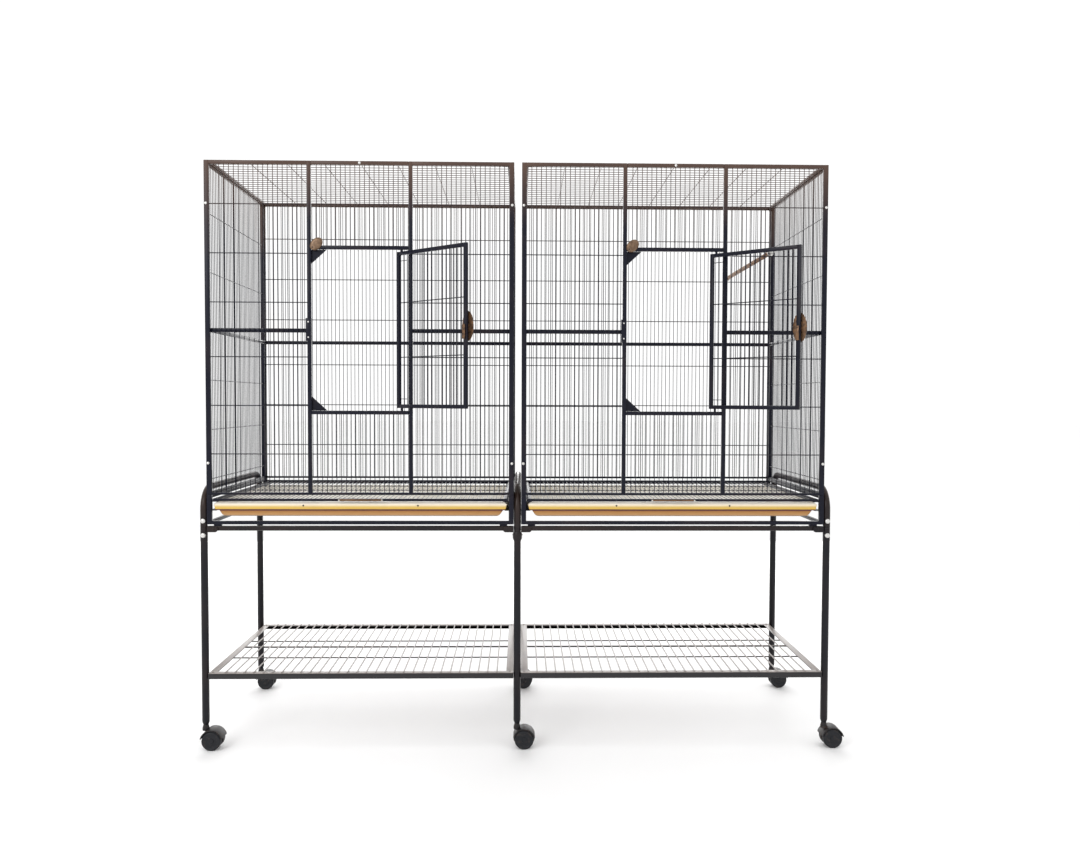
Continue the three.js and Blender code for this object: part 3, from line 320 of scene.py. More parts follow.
# %% Helpers: shader sums and nodes
class Value:
    """Output socket of a node. Sums on it add Math nodes."""

    def __init__(self, finish, socket):
        self.finish = finish
        self.socket = socket

    def sum(self, operation, first, second, clamp=False):
        """Adds one Math node."""
        settings = {"operation": operation, "use_clamp": clamp}
        return self.finish.node("ShaderNodeMath", settings, {0: first, 1: second})

    def __add__(self, other):
        return self.sum("ADD", self, other)

    __radd__ = __add__

    def __sub__(self, other):
        return self.sum("SUBTRACT", self, other)

    def __rsub__(self, other):
        return self.sum("SUBTRACT", other, self)

    def __mul__(self, other):
        return self.sum("MULTIPLY", self, other)

    __rmul__ = __mul__

    def clamped(self):
        """Same value kept between 0 and 1."""
        return self.sum("ADD", self, 0, clamp=True)


class Finish:
    """One material, whose patterns follow the piece's own coordinates in metres."""

    def __init__(self, name, **constants):
        self.material = bpy.data.materials.new(name)
        self.material.use_nodes = True
        self.tree = self.material.node_tree
        self.shader = self.tree.nodes["Principled BSDF"]
        self.place = self.node("ShaderNodeTexCoord", output="Object")
        for socket, value in constants.items():
            self.shader.inputs[socket.replace("_", " ")].default_value = value

    def node(self, kind, settings=None, sockets=None, output=0):
        """Adds a node, gives it its settings and then its sockets, and returns an output."""
        made = self.tree.nodes.new(kind)
        for name, value in (settings or {}).items():
            if name == "stops":
                self.set_stops(made.color_ramp, value)
            else:
                setattr(made, name, value)
        for key, value in (sockets or {}).items():
            if isinstance(value, Value):
                self.tree.links.new(value.socket, made.inputs[key])
            else:
                made.inputs[key].default_value = value
        return Value(self, made.outputs[output])

    def set_stops(self, ramp, stops):
        """Gives a colour ramp its stops, each a place and a colour."""
        while len(ramp.elements) < len(stops):
            ramp.elements.new(0.5)
        for element, (position, colour) in zip(ramp.elements, stops):
            element.position = position
            element.color = (*colour, 1)

    def noise(self, size, detail=2, stretch=(1, 1, 1)):
        """Cloudy pattern from 0 to 1 whose spots measure about one size."""
        scaled = self.node(
            "ShaderNodeMapping", sockets={"Vector": self.place, "Scale": stretch}
        )
        sockets = {"Vector": scaled, "Scale": 1 / size, "Detail": detail}
        return self.node("ShaderNodeTexNoise", sockets=sockets)

    def height(self):
        """Height over the ground in metres."""
        return self.node("ShaderNodeSeparateXYZ", sockets={0: self.place}, output=2)

    def ramp(self, value, stops):
        """Colour by a value from 0 to 1."""
        return self.node("ShaderNodeValToRGB", {"stops": stops}, {0: value})

    def blend(self, share, first, second):
        """Colour from the first, at a share of 0, to the second, at a share of 1."""
        first, second = [c if isinstance(c, Value) else (*c, 1) for c in (first, second)]
        return self.node(
            "ShaderNodeMix", {"data_type": "RGBA"}, {0: share, 6: first, 7: second}, output=2
        )

    def feed(self, socket, value):
        """Links a value into the shader."""
        self.tree.links.new(value.socket, self.shader.inputs[socket])

    def bump(self, height, strength, distance):
        """Raises the surface by a height pattern, at most by the distance."""
        sockets = {"Height": height, "Strength": strength, "Distance": distance}
        self.feed("Normal", self.node("ShaderNodeBump", sockets=sockets))


# %% [markdown]
# The frame has a powder coat: a satin black with a blue cast. Powder melts into a skin with a
# fine orange-peel texture of about a millimetre, so a small noise drives the bump and some of the
# roughness. Towards the top of the cages and on the bent tubes a painted warm reflection turns
# the coat bronze brown, in soft patches. A rise over height plus a wide noise paints that in.


# %% Finish: black powder coat
COAT_ROUGHNESS = 0.3
# The brown is a painted warm reflection, whose share grows with height.
REFLECTION_RISE = 4  # share of brown that is gained over one metre of height


def powder_coat(name, colour, reflection_colour, shine, reflection_from, reflection_share):
    """Satin coat with a painted warm reflection that grows above a height in metres."""
    finish = Finish(name, Specular_IOR_Level=shine)
    patches = finish.noise(120 * MM, detail=3)
    peel = finish.noise(1.1 * MM, detail=1)
    # Painted warm reflection: its share rises above a height and spreads in patches.
    rise = ((finish.height() - reflection_from) * REFLECTION_RISE).clamped()
    share = (reflection_share * rise + (patches - 0.5) * 0.5).clamped()
    speckle = finish.noise(6 * MM, detail=3)
    darker = tuple(0.55 * value for value in colour)
    coat = finish.blend((speckle * 1.6 - 0.3).clamped(), darker, colour)
    finish.feed("Base Color", finish.blend(share, coat, reflection_colour))
    unevenness = 0.16 * (patches - 0.5) + 0.1 * (peel - 0.5)
    finish.feed("Roughness", COAT_ROUGHNESS + unevenness)
    finish.bump(peel, strength=0.25, distance=0.15 * MM)
    return finish.material


# Each coat gets a painted warm reflection: its colour, the height where it starts and its share.
frame_coat = powder_coat(
    "black_frame_coat", (0.008, 0.009, 0.019), (0.13, 0.08, 0.058), 0.16, 1.36, 0.9
)
stand_coat = powder_coat(
    "black_stand_coat", (0.006, 0.006, 0.010), (0.085, 0.045, 0.025), 0.25, 0.52, 0.5
)
print("coats:", frame_coat.name, stand_coat.name)

# %% [markdown]
# The shelves have a greyer coat. The wires and the tops of the flanges are a painted reflection
# of the bright room, light grey, and the skirts stay dark: the painted sheen starts just under the
# level of the flanges. A noise, stretched front to back, makes it uneven.

# %% Finish: charcoal coat with a painted sheen
shelf_finish = Finish("charcoal_shelf_coat", Specular_IOR_Level=0.35)
sheen_patches = shelf_finish.noise(30 * MM, detail=4, stretch=(1, 0.25, 1))
peel = shelf_finish.noise(1.2 * MM, detail=1)
SHEEN_DEPTH = 0.8 * MM
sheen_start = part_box("shelf_left")[1].z - 1.4 * MM
# Painted reflection on the level tops, lighter in patches of the noise.
on_top = ((shelf_finish.height() - sheen_start) * (1 / SHEEN_DEPTH)).clamped()
painted_sheen = (on_top * (0.35 + sheen_patches * 0.9)).clamped()
shelf_finish.feed("Base Color", shelf_finish.blend(painted_sheen, (0.018, 0.017, 0.019), (0.34, 0.30, 0.28)))
shelf_finish.feed("Roughness", 0.2 + 0.2 * painted_sheen + 0.08 * peel)
shelf_finish.bump(peel, strength=0.2, distance=0.15 * MM)
shelf_coat = shelf_finish.material
print("coat:", shelf_coat.name)

# %% [markdown]
# The bolts are bright zinc. Zinc is a metal, so its colour is the colour of its reflection. A
# cloudy noise on the roughness gives the faint crystal look of plating.

# %% Finish: zinc
zinc_finish = Finish("bright_zinc", Metallic=1.0)
cloud = zinc_finish.noise(2.5 * MM, detail=3)
zinc_finish.feed("Base Color", zinc_finish.blend(cloud, (0.50, 0.50, 0.50), (0.86, 0.84, 0.80)))
zinc_finish.feed("Roughness", 0.2 + 0.25 * cloud)
zinc_finish.bump(cloud, strength=0.1, distance=0.1 * MM)
zinc = zinc_finish.material
print("metal:", zinc.name)

# %% [markdown]
# The tray is pressed from sheet and painted a golden yellow. Its top flange is a painted
# highlight: it catches the light and looks cream. A dark line under its shoulder is painted shadow
# of the rim over the pan, and the pan below is more orange and darkens downwards. All of this
# follows height, so one ramp over the tray's own height gives the bands. A noise bends their edges
# and adds the stains that litter leaves. The inside of the tray is cream all over, so each face
# has a value of its own that says whether it looks inwards.

# %% Finish: golden tray paint
tray_low, tray_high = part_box("tray_left")
tray_height = tray_high.z - tray_low.z
tray_finish = Finish("golden_tray_paint", Specular_IOR_Level=0.5)
stain = tray_finish.noise(45 * MM, detail=5)
grit = tray_finish.noise(2 * MM, detail=2)
level = (tray_finish.height() - tray_low.z) * (1 / tray_height) + 0.03 * (stain - 0.5)
# Stops 0.40 to 0.50 are the painted shadow under the shoulder, and those from 0.76 up the flange's
# painted highlight.
bands = tray_finish.ramp(
    level,
    [
        (0.0, (0.06, 0.025, 0.015)),
        (0.07, (0.56, 0.32, 0.15)),
        (0.2, (0.52, 0.26, 0.08)),
        (0.36, (0.48, 0.20, 0.04)),
        (0.40, (0.08, 0.008, 0.016)),
        (0.50, (0.09, 0.012, 0.016)),
        (0.55, (0.66, 0.42, 0.06)),
        (0.66, (0.60, 0.40, 0.09)),
        (0.76, (0.72, 0.58, 0.34)),
        (0.86, (0.88, 0.80, 0.66)),
        (1.0, (0.93, 0.87, 0.79)),
    ],
)
dirt = ((stain - 0.55) * 3).clamped()
inside = tray_finish.node("ShaderNodeAttribute", {"attribute_name": "inside"}, output=2)
coat = tray_finish.blend(inside, bands, (0.96, 0.92, 0.84))
tray_finish.feed("Base Color", tray_finish.blend(0.25 * dirt, coat, (0.30, 0.16, 0.06)))
tray_finish.feed("Roughness", 0.38 + 0.25 * dirt + 0.06 * grit)
tray_finish.bump(grit, strength=0.15, distance=0.1 * MM)
tray_paint = tray_finish.material
print("paint:", tray_paint.name, "over", round(tray_height / MM, 1), "mm")


# %% [markdown]
# The handles are a dark bronze and the turn buttons a lighter tan. Both wear the same way:
# fingers rub them bright in soft patches, and a darker patina stays between the patches. One
# noise makes both, since its clouds choose the colour and the roughness together.


# %% Finish: bronze and tan metal
def patina(name, bright, dark, metallic, roughness):
    """Half-metallic coat with darker clouds of patina."""
    finish = Finish(name, Metallic=metallic)
    cloud = finish.noise(7 * MM, detail=4)
    fine = finish.noise(0.9 * MM, detail=2)
    finish.feed("Base Color", finish.blend((cloud * 2 - 0.5).clamped(), bright, dark))
    finish.feed("Roughness", roughness + 0.25 * (cloud - 0.5))
    finish.bump(fine, strength=0.2, distance=0.1 * MM)
    return finish.material


bronze = patina("dark_bronze", (0.26, 0.14, 0.07), (0.018, 0.012, 0.012), 0.6, 0.28)
tan_metal = patina("tan_metal", (0.24, 0.15, 0.09), (0.08, 0.045, 0.026), 0.5, 0.36)
dark_screw = patina("dark_screw", (0.03, 0.028, 0.03), (0.012, 0.012, 0.014), 0.7, 0.35)
print("metals:", bronze.name, tan_metal.name, dark_screw.name)

# %% [markdown]
# The casters are moulded plastic. A mould leaves a fine even grain, and use leaves scuffs and
# brown dust. The noise of the scuffs is cut off below its middle, so most of the plastic stays
# dark and only the peaks show. Hoods collect more dust than wheels, so theirs is the browner.


# %% Finish: moulded plastic
def moulded_plastic(name, colour, scuffed, scuffs):
    """Matt plastic with a fine grain and dusty scuffs."""
    finish = Finish(name, Specular_IOR_Level=0.25)
    grain = finish.noise(0.6 * MM, detail=1)
    scuff = ((finish.noise(9 * MM, detail=6) - 0.55) * 5).clamped()
    finish.feed("Base Color", finish.blend(scuffs * scuff, colour, scuffed))
    finish.feed("Roughness", 0.42 + 0.25 * scuff + 0.08 * grain)
    finish.bump(grain, strength=0.3, distance=0.08 * MM)
    return finish.material


hood_plastic = moulded_plastic("caster_plastic", (0.016, 0.014, 0.015), (0.22, 0.13, 0.09), 0.35)
tread_plastic = moulded_plastic("wheel_plastic", (0.012, 0.013, 0.016), (0.15, 0.11, 0.09), 0.3)
print("plastics:", hood_plastic.name, tread_plastic.name)

# %% [markdown]
# The perch is a plain dowel. Wood grain runs along a dowel, so the noise is stretched hard along
# Y: its streaks become long and thin. Darker pores are a second, finer noise, and the same streaks
# lift the surface a little.

# %% Finish: brown dowel
wood_finish = Finish("brown_dowel_wood", Specular_IOR_Level=0.3)
streaks = wood_finish.noise(2.2 * MM, detail=5, stretch=(1, 0.03, 1))
pores = wood_finish.noise(0.7 * MM, detail=2, stretch=(1, 0.08, 1))
grain = wood_finish.ramp(
    streaks, [(0.3, (0.10, 0.045, 0.018)), (0.55, (0.25, 0.12, 0.05)), (0.75, (0.36, 0.19, 0.085))]
)
wood_finish.feed("Base Color", wood_finish.blend(0.5 * pores, grain, (0.06, 0.03, 0.015)))
wood_finish.feed("Roughness", 0.55 + 0.25 * pores)
wood_finish.bump(streaks + pores, strength=0.35, distance=0.25 * MM)
dowel_wood = wood_finish.material
print("wood:", dowel_wood.name)

# %% [markdown]
# The stand has three hoops. Each is one tube bent twice through a right angle, like a towel rail:
# up from the front leg, back over the gap beside a cage, and down to the rear leg. A ring of
# vertices is extruded along each straight run, and the spin operator swings its last ring round
# each bend. So the section stays round in the bend, as it does on a tube bender.


# %% Helpers: run a ring on, round a bend, and close it
def ring_edges(verts):
    """Edges of one ring of vertices."""
    ring = set(verts)
    return [e for e in {e for v in ring for e in v.link_edges} if set(e.verts) <= ring]


def run_on(bm, edges, step):
    """Extrudes a ring of edges by one straight step and returns the new ring."""
    made = bmesh.ops.extrude_edge_only(bm, edges=edges)["geom"]
    verts = [item for item in made if isinstance(item, bmesh.types.BMVert)]
    bmesh.ops.translate(bm, verts=verts, vec=step)
    return ring_edges(verts)


def bend_on(bm, edges, centre, steps=10):
    """Swings a ring of edges through a right angle about X and returns the new ring."""
    made = bmesh.ops.spin(
        bm,
        geom=edges,
        cent=centre,
        axis=(1, 0, 0),
        dvec=(0, 0, 0),
        angle=-math.pi / 2,
        steps=steps,
        use_merge=False,
        use_duplicate=False,
    )["geom_last"]
    return ring_edges([item for item in made if isinstance(item, bmesh.types.BMVert)])


def close_ends(bm):
    """Caps the open rings of a tube."""
    bmesh.ops.holes_fill(bm, edges=[edge for edge in bm.edges if edge.is_boundary], sides=0)


# %% [markdown]
# The loop follows one hoop from the foot of its front leg to the foot of its rear leg: a straight
# run, a bend, a run, a bend and a last run. Each helper returns the ring it ended on, and the next
# one starts from it.

# %% Build the hoops
HOOP_BEND = 58 * MM
COLUMNS = ("left", "middle", "right")
ENDS = (("front", -1), ("rear", 1))

for side in COLUMNS:
    low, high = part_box(f"hoop_{side}")
    x = (low.x + high.x) / 2
    bottom, top = low.z, high.z - TUBE
    front, back = middle.y - half_spread, middle.y + half_spread
    bm = bmesh.new()
    start = Matrix.Translation((x, front, bottom))
    ring = bmesh.ops.create_circle(bm, cap_ends=False, segments=24, radius=TUBE, matrix=start)
    edges = run_on(bm, ring_edges(ring["verts"]), (0, 0, top - HOOP_BEND - bottom))
    edges = bend_on(bm, edges, (x, front + HOOP_BEND, top - HOOP_BEND))
    edges = run_on(bm, edges, (0, back - front - 2 * HOOP_BEND, 0))
    edges = bend_on(bm, edges, (x, back - HOOP_BEND, top - HOOP_BEND))
    run_on(bm, edges, (0, 0, bottom - top + HOOP_BEND))
    close_ends(bm)
    node = f"hoop_{side}"
    finish_piece(f"bent_{node}", bm, stand_coat, "stand_and_cages", [node])

# %% [markdown]
# Six legs run from the hoops down to the casters. They are straight tubes. The outer legs are
# bolted, and the two middle ones end in a round collar instead, which is a turned shape with a
# soft belly. A tapered plug closes the foot of each leg round the stem of its caster.

# %% Build the legs
TUBE_SIDES = 24
PLUG = 12 * MM
PLUG_RADIUS = 0.98 * TUBE
COLLAR = 12.5 * MM
COLLAR_UNDER_RAIL = 0.3 * MM

stand_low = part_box("rail_front_left")[0].z
plug_profile = [
    (0, 0),
    (0.7 * TUBE, 0),
    (PLUG_RADIUS, 0.6 * PLUG),
    (PLUG_RADIUS, PLUG),
    (0, PLUG),
]
collar_profile = [
    (0, 0),
    (0.84 * COLLAR, 0),
    (COLLAR, -4 * MM),
    (COLLAR, -15 * MM),
    (0.88 * COLLAR, -20 * MM),
    (0.78 * COLLAR, -22 * MM),
    (0, -22 * MM),
]

for end, facing in ENDS:
    for side in COLUMNS:
        low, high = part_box(f"leg_{end}_{side}")
        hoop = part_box(f"hoop_{side}")
        x = (hoop[0].x + hoop[1].x) / 2
        y = middle.y + facing * half_spread
        bm = bmesh.new()
        tube(bm, (x, y, low.z + 0.8 * PLUG), (x, y, high.z))
        turned(bm, plug_profile, (x, y, low.z), UP, TUBE_SIDES)
        if side == "middle":
            seat = (x, y, stand_low - COLLAR_UNDER_RAIL)
            turned(bm, collar_profile, seat, UP, TUBE_SIDES)
        node = f"leg_{end}_{side}"
        finish_piece(f"tube_{node}", bm, stand_coat, "stand_and_cages", [node])

# %% [markdown]
# Four rails carry the cages. Each is a flat bar with a lug at both ends that laps the joint of
# its hoop. A lug is a thin plate with one rounded end, made from a cube by a wide bevel on the two
# edges that run through its inner end, and a small black bolt holds it.


# %% Helper: a lug
LUG = 28 * MM
LUG_DROP = 3.5 * MM
LUG_SHEET = 3 * MM
LUG_ROUND = 7 * MM


def lug(bm, low, high, inner):
    """Adds a thin plate whose corners on its inner end, at X inner, are round."""
    low, high = Vector(low), Vector(high)
    matrix = Matrix.Translation((low + high) / 2) @ Matrix.Diagonal((*(high - low), 1))
    made = bmesh.ops.create_cube(bm, size=1, matrix=matrix)
    tiny = EMBED / 10
    corners = []
    for edge in {edge for vert in made["verts"] for edge in vert.link_edges}:
        first, second = (vert.co for vert in edge.verts)
        runs_through = abs(first.x - second.x) < tiny and abs(first.z - second.z) < tiny
        if runs_through and abs(first.x - inner) < tiny:
            corners.append(edge)
    bmesh.ops.bevel(
        bm,
        geom=corners,
        offset=LUG_ROUND,
        offset_type="OFFSET",
        affect="EDGES",
        segments=6,
        profile=0.5,
        material=-1,
    )


# %% [markdown]
# The box of a rail in the CAD frame includes its lugs, which stand out towards the outside by
# the thickness of their sheet and hang a little under the bar. So the bar takes up the rest.

# %% Build the rails
LUG_BOLT_RISE = 7.5 * MM
LUG_BELOW_TOP = 1 * MM

for end, facing in ENDS:
    for side in SIDES:
        node = f"rail_{end}_{side}"
        low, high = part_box(node)
        if facing < 0:
            outside, bar_y = low.y, (low.y + LUG_SHEET, high.y)
            lug_y = (low.y, low.y + LUG_SHEET + EMBED)
        else:
            outside, bar_y = high.y, (low.y, high.y - LUG_SHEET)
            lug_y = (high.y - LUG_SHEET - EMBED, high.y)
        bm = bmesh.new()
        start = (low.x, bar_y[0], low.z + LUG_DROP)
        bar(bm, start, (high.x, bar_y[1], high.z), soften=2 * MM)
        lug_top = high.z - LUG_BELOW_TOP
        for x, inner in ((low.x, low.x + LUG), (high.x - LUG, high.x - LUG)):
            lug(bm, (x, lug_y[0], low.z), (x + LUG, lug_y[1], lug_top), inner)
        for x in (low.x + 0.6 * LUG, high.x - 0.6 * LUG):
            seat = (x, outside, low.z + LUG_BOLT_RISE)
            domed_bolt(bm, seat, (0, facing, 0), 3.6 * MM, 1.6 * MM)
        finish_piece(f"flat_{node}", bm, stand_coat, "stand_and_cages", [node])

# %% [markdown]
# Bright domed caps cover the bolts of the outer hoops and legs, one above and one below each
# joint. The middle legs have two small pins beside their collars. All are zinc, so they are one
# piece of their own with its own finish.

# %% Build the bolts of the stand
CAP = 6.5 * MM
CAP_OFFSET = 19 * MM
JOINT_RISE = 7 * MM
COLLAR_PIN_DROP = 8 * MM

joint_level = stand_low + LUG_DROP + JOINT_RISE
bm = bmesh.new()
for side in SIDES:
    low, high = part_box(f"hoop_{side}")
    x = (low.x + high.x) / 2
    for end, facing in ENDS:
        for level in (joint_level - CAP_OFFSET, joint_level + CAP_OFFSET):
            seat = (x, middle.y + facing * (half_spread + TUBE), level)
            domed_bolt(bm, seat, (0, facing, 0), CAP, 3 * MM, steps=20)
for end, facing in ENDS:
    for turn in (-1, 1):
        x = middle.x + turn * (COLLAR - 0.5 * MM)
        seat = (x, middle.y + facing * half_spread, stand_low - COLLAR_PIN_DROP)
        domed_bolt(bm, seat, (turn, 0, 0), 2.6 * MM, 2 * MM)
finish_piece("stand_bolts", bm, zinc, "stand_and_cages")

# %% [markdown]
# A shelf has a frame of four angle irons, with the wires over it from front to back and three
# rods under them. Each angle iron is a level flange and an upright skirt, two bars that meet in a
# corner. The wires are welded on top of the flanges, so they stand a little proud, and the rods
# are a little thicker than the wires.


# %% Helper: even places
def even_places(start, end, pitch):
    """Even places between two ends, at about the pitch, with an even number of bays."""
    bays = 2 * max(1, round((end - start) / (2 * pitch)))
    return [start + (end - start) * index / bays for index in range(1, bays)]


# %% [markdown]
# The side irons fit between the front and the back one, and they lie a hair lower, so no two
# faces share a plane: shared planes give speckles where they overlap. Of the three rods the
# middle one is the thickest.

# %% Build the shelves
FLANGE = 19 * MM
SKIRT = 15.5 * MM
SHEET = 3 * MM
IRON_ROUND = 1 * MM
SHELF_PITCH = 24.4 * MM
SHELF_WIRE = 1.8 * MM
RODS = ((0.29, 1.9 * MM), (0.5, 2.6 * MM), (0.62, 1.9 * MM))
ROD_LAP = 2 * MM
SHELF_BOLT_INSET = 12 * MM

for side in SIDES:
    node = f"shelf_{side}"
    low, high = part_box(node)
    top = high.z
    bm = bmesh.new()
    for y, skirt in ((low.y, low.y), (high.y - FLANGE, high.y - SHEET)):
        bar(bm, (low.x, y, top - SHEET), (high.x, y + FLANGE, top), IRON_ROUND)
        skirt_high = (high.x, skirt + SHEET, top - 2 * HAIR)
        bar(bm, (low.x, skirt, top - SKIRT), skirt_high, IRON_ROUND)
    start, end = low.y + SHEET, high.y - SHEET
    for x, skirt in ((low.x, low.x), (high.x - FLANGE, high.x - SHEET)):
        bar(bm, (x, start, top - SHEET - HAIR), (x + FLANGE, end, top - HAIR), IRON_ROUND)
        skirt_high = (skirt + SHEET, end, top - 3 * HAIR)
        bar(bm, (skirt, start, top - SKIRT), skirt_high, IRON_ROUND)
    left, right = low.x + FLANGE, high.x - FLANGE
    level = top + 0.5 * SHELF_WIRE
    bays = round((right - left) / SHELF_PITCH)
    for index in range(1, bays):
        x = left + (right - left) * index / bays
        wire(bm, (x, start, level), (x, end, level), SHELF_WIRE)
    level = top - 1.2 * SHELF_WIRE
    for share, radius in RODS:
        y = low.y + share * (high.y - low.y)
        wire(bm, (left - ROD_LAP, y, level), (right + ROD_LAP, y, level), radius, 10)
    for x in (low.x + FLANGE / 2, high.x - FLANGE / 2):
        for y in (low.y + SHELF_BOLT_INSET, high.y - SHELF_BOLT_INSET):
            domed_bolt(bm, (x, y, top - HAIR), UP, 3.4 * MM, 2 * MM)
    finish_piece(f"wire_{node}", bm, shelf_coat, "stand_and_cages", [node])

# %% [markdown]
# A wall is easiest to draw flat: X along it, Z up it, and Y from its outer face inwards. Each wall
# is built in that frame and then stood in its place by one matrix. The same helper lays the wires
# of every wall. They are spaced evenly between two stiles, and level wires are welded behind them.


# %% Helpers: the place and the wires of a wall
def stand_at(corner, along):
    """Matrix from a wall's own frame to its place, from its lower outer corner."""
    along = Vector(along)
    turn = Matrix((along, UP.cross(along), UP)).transposed().to_4x4()
    return Matrix.Translation(corner) @ turn


def grille(bm, left, right, bottom, top, rows, plane=WIRE_PLANE):
    """Adds upright wires between two stiles and level wires welded behind them."""
    for x in even_places(left, right, WIRE_PITCH):
        wire(bm, (x, plane, bottom - EMBED), (x, plane, top + EMBED))
    for z in rows:
        y = plane + CROSS_PLANE - WIRE_PLANE
        wire(bm, (left - EMBED, y, z), (right + EMBED, y, z), CROSS_WIRE)


# %% [markdown]
# A whole wall adds two stiles, a sill and a top rail round its wires, and a flat tube behind them
# at half its height. The stiles run through. The rails between them are a hair thinner, and they
# reach a little into the stiles, as a welded bar does.


# %% Helper: a whole wall
def framed_grille(bm, width, left, right, rows, bar_ends):
    """Adds a wall with stiles of two widths, its rails, its wires and its flat tube."""
    height = cage_size.z
    bar(bm, (0, 0, 0), (left, WALL, height))
    bar(bm, (width - right, 0, 0), (width, WALL, height))
    start, end = left - EMBED, width - right + EMBED
    bar(bm, (start, HAIR, 0), (end, WALL - HAIR, SILL))
    bar(bm, (start, HAIR, height - RAIL), (end, WALL - HAIR, height))
    grille(bm, left, width - right, SILL, height - RAIL, rows)
    bar(
        bm,
        (bar_ends[0], BAR_FRONT, BAR_LEVEL - BAR_HEIGHT / 2),
        (bar_ends[1], BAR_BACK, BAR_LEVEL + BAR_HEIGHT / 2),
        soften=2.4 * MM,
    )


# %% [markdown]
# The level wires of the front and the back mirror each other over the middle of the door. Those of
# the sides are set out from the flat tube instead.

# %% Levels of the level wires
FIRST_ROW = 71 * MM
ROW_PITCH = 127 * MM
SIDE_ROWS = (-390 * MM, -260 * MM, -130 * MM, 152 * MM, 304 * MM)

front_rows = [
    DOOR_MIDDLE + sign * (FIRST_ROW + index * ROW_PITCH) for index in range(3) for sign in (-1, 1)
]
side_rows = [BAR_LEVEL + offset for offset in SIDE_ROWS]
print("level wires of the front at", [round(z / MM) for z in sorted(front_rows)], "mm")

# %% [markdown]
# The back wall and the two side walls of each cage are whole grilles. The side walls stand
# between the front and the back, so they are narrower by two walls.

# %% Build the back and the sides
for side, (low, high) in cages.items():
    bm = bmesh.new()
    ends = (WALL + GAP, cage_size.x - WALL - GAP)
    framed_grille(bm, cage_size.x, CORNER, CORNER, front_rows, ends)
    node = f"back_wall_{side}"
    place = stand_at((high.x, high.y, low.z), (-1, 0, 0))
    finish_piece(f"grille_{node}", bm, frame_coat, "stand_and_cages", [node], place)
    depth = cage_size.y - 2 * (WALL + GAP)
    for node, corner, along in (
        (f"left_wall_{side}", (low.x, high.y - WALL - GAP, low.z), (0, -1, 0)),
        (f"right_wall_{side}", (high.x, low.y + WALL + GAP, low.z), (0, 1, 0)),
    ):
        bm = bmesh.new()
        framed_grille(bm, depth, RAIL, RAIL, side_rows, (RAIL / 2, depth - RAIL / 2))
        place = stand_at(corner, along)
        finish_piece(f"grille_{node}", bm, frame_coat, "stand_and_cages", [node], place)

# %% [markdown]
# The front wall is made of four pieces round the doorway: a column on the latch side, a column on
# the hinge side, and a short grille over and under the door. Two flat plates stiffen the corners
# of the doorway. A plate starts as one face through its corners, which is extruded to its
# thickness.


# %% Helper: a flat plate
def flat_plate(bm, corners, y0, y1, soften=0.4 * MM):
    """Adds a flat plate through its corners in X and Z, from one depth to another."""
    verts = [bm.verts.new((x, y0, z)) for x, z in corners]
    face = bm.faces.new(verts)
    extruded = bmesh.ops.extrude_face_region(bm, geom=[face], use_keep_orig=True)["geom"]
    new = [item for item in extruded if isinstance(item, bmesh.types.BMVert)]
    bmesh.ops.translate(bm, verts=new, vec=(0, y1 - y0, 0))
    edges = {edge for vert in verts + new for edge in vert.link_edges}
    bmesh.ops.bevel(
        bm,
        geom=list(edges),
        offset=soften,
        offset_type="OFFSET",
        affect="EDGES",
        segments=1,
        profile=0.5,
        material=-1,
    )


# %% [markdown]
# The latch-side column carries the corner plates and the keeper. The keeper is a flat plate bent
# round the upright, and the tongue of the latch pulls on it. The plates lie at the back of the
# wall, out of the way of the door.

# %% Build the latch-side columns of the front
GUSSET = (39 * MM, 36 * MM)
GUSSET_SHEET = 1.5 * MM
KEEPER = 60 * MM
KEEPER_REACH = 3.5 * MM
KEEPER_SHEET = 2 * MM

edge, tip = doorway_left - UPRIGHT / 2, doorway_left + GUSSET[0]
lower, lower_rise = DOORWAY_BOTTOM + GAP, DOORWAY_BOTTOM + GUSSET[1]
upper, upper_drop = DOORWAY_TOP - GAP, DOORWAY_TOP - GUSSET[1]
gussets = [
    [(edge, lower), (tip, lower), (doorway_left, lower_rise), (edge, lower_rise)],
    [(edge, upper_drop), (doorway_left, upper_drop), (tip, upper), (edge, upper)],
]

for side, (low, high) in cages.items():
    bm = bmesh.new()
    framed_grille(bm, doorway_left, CORNER, UPRIGHT, front_rows, (WALL + GAP, edge))
    for corners in gussets:
        flat_plate(bm, corners, WALL - GUSSET_SHEET, WALL)
    keeper_left = doorway_left - UPRIGHT - KEEPER_REACH
    bar(
        bm,
        (keeper_left, -KEEPER_SHEET, DOOR_MIDDLE - KEEPER / 2),
        (doorway_left, WALL - KEEPER_SHEET, DOOR_MIDDLE + KEEPER / 2),
        soften=0.8 * MM,
    )
    node = f"front_latch_column_{side}"
    place = stand_at(low, (1, 0, 0))
    finish_piece(f"grille_{node}", bm, frame_coat, "stand_and_cages", [node], place)

# %% [markdown]
# The column on the hinge side is a plain wall. The doorway is in the middle of the front, so both
# columns have the same width.

# %% Build the hinge-side columns of the front
column = cage_size.x - doorway_left - DOORWAY
for side, (low, high) in cages.items():
    bm = bmesh.new()
    framed_grille(bm, column, UPRIGHT, CORNER, front_rows, (UPRIGHT / 2, column - WALL - GAP))
    node = f"front_hinge_column_{side}"
    place = stand_at(low + Vector((doorway_left + DOORWAY, 0, 0)), (1, 0, 0))
    finish_piece(f"grille_{node}", bm, frame_coat, "stand_and_cages", [node], place)

# %% [markdown]
# The two short grilles fill the front over and under the door. Each has a bar at its top and one
# at its bottom, and only those level wires that fall between them.

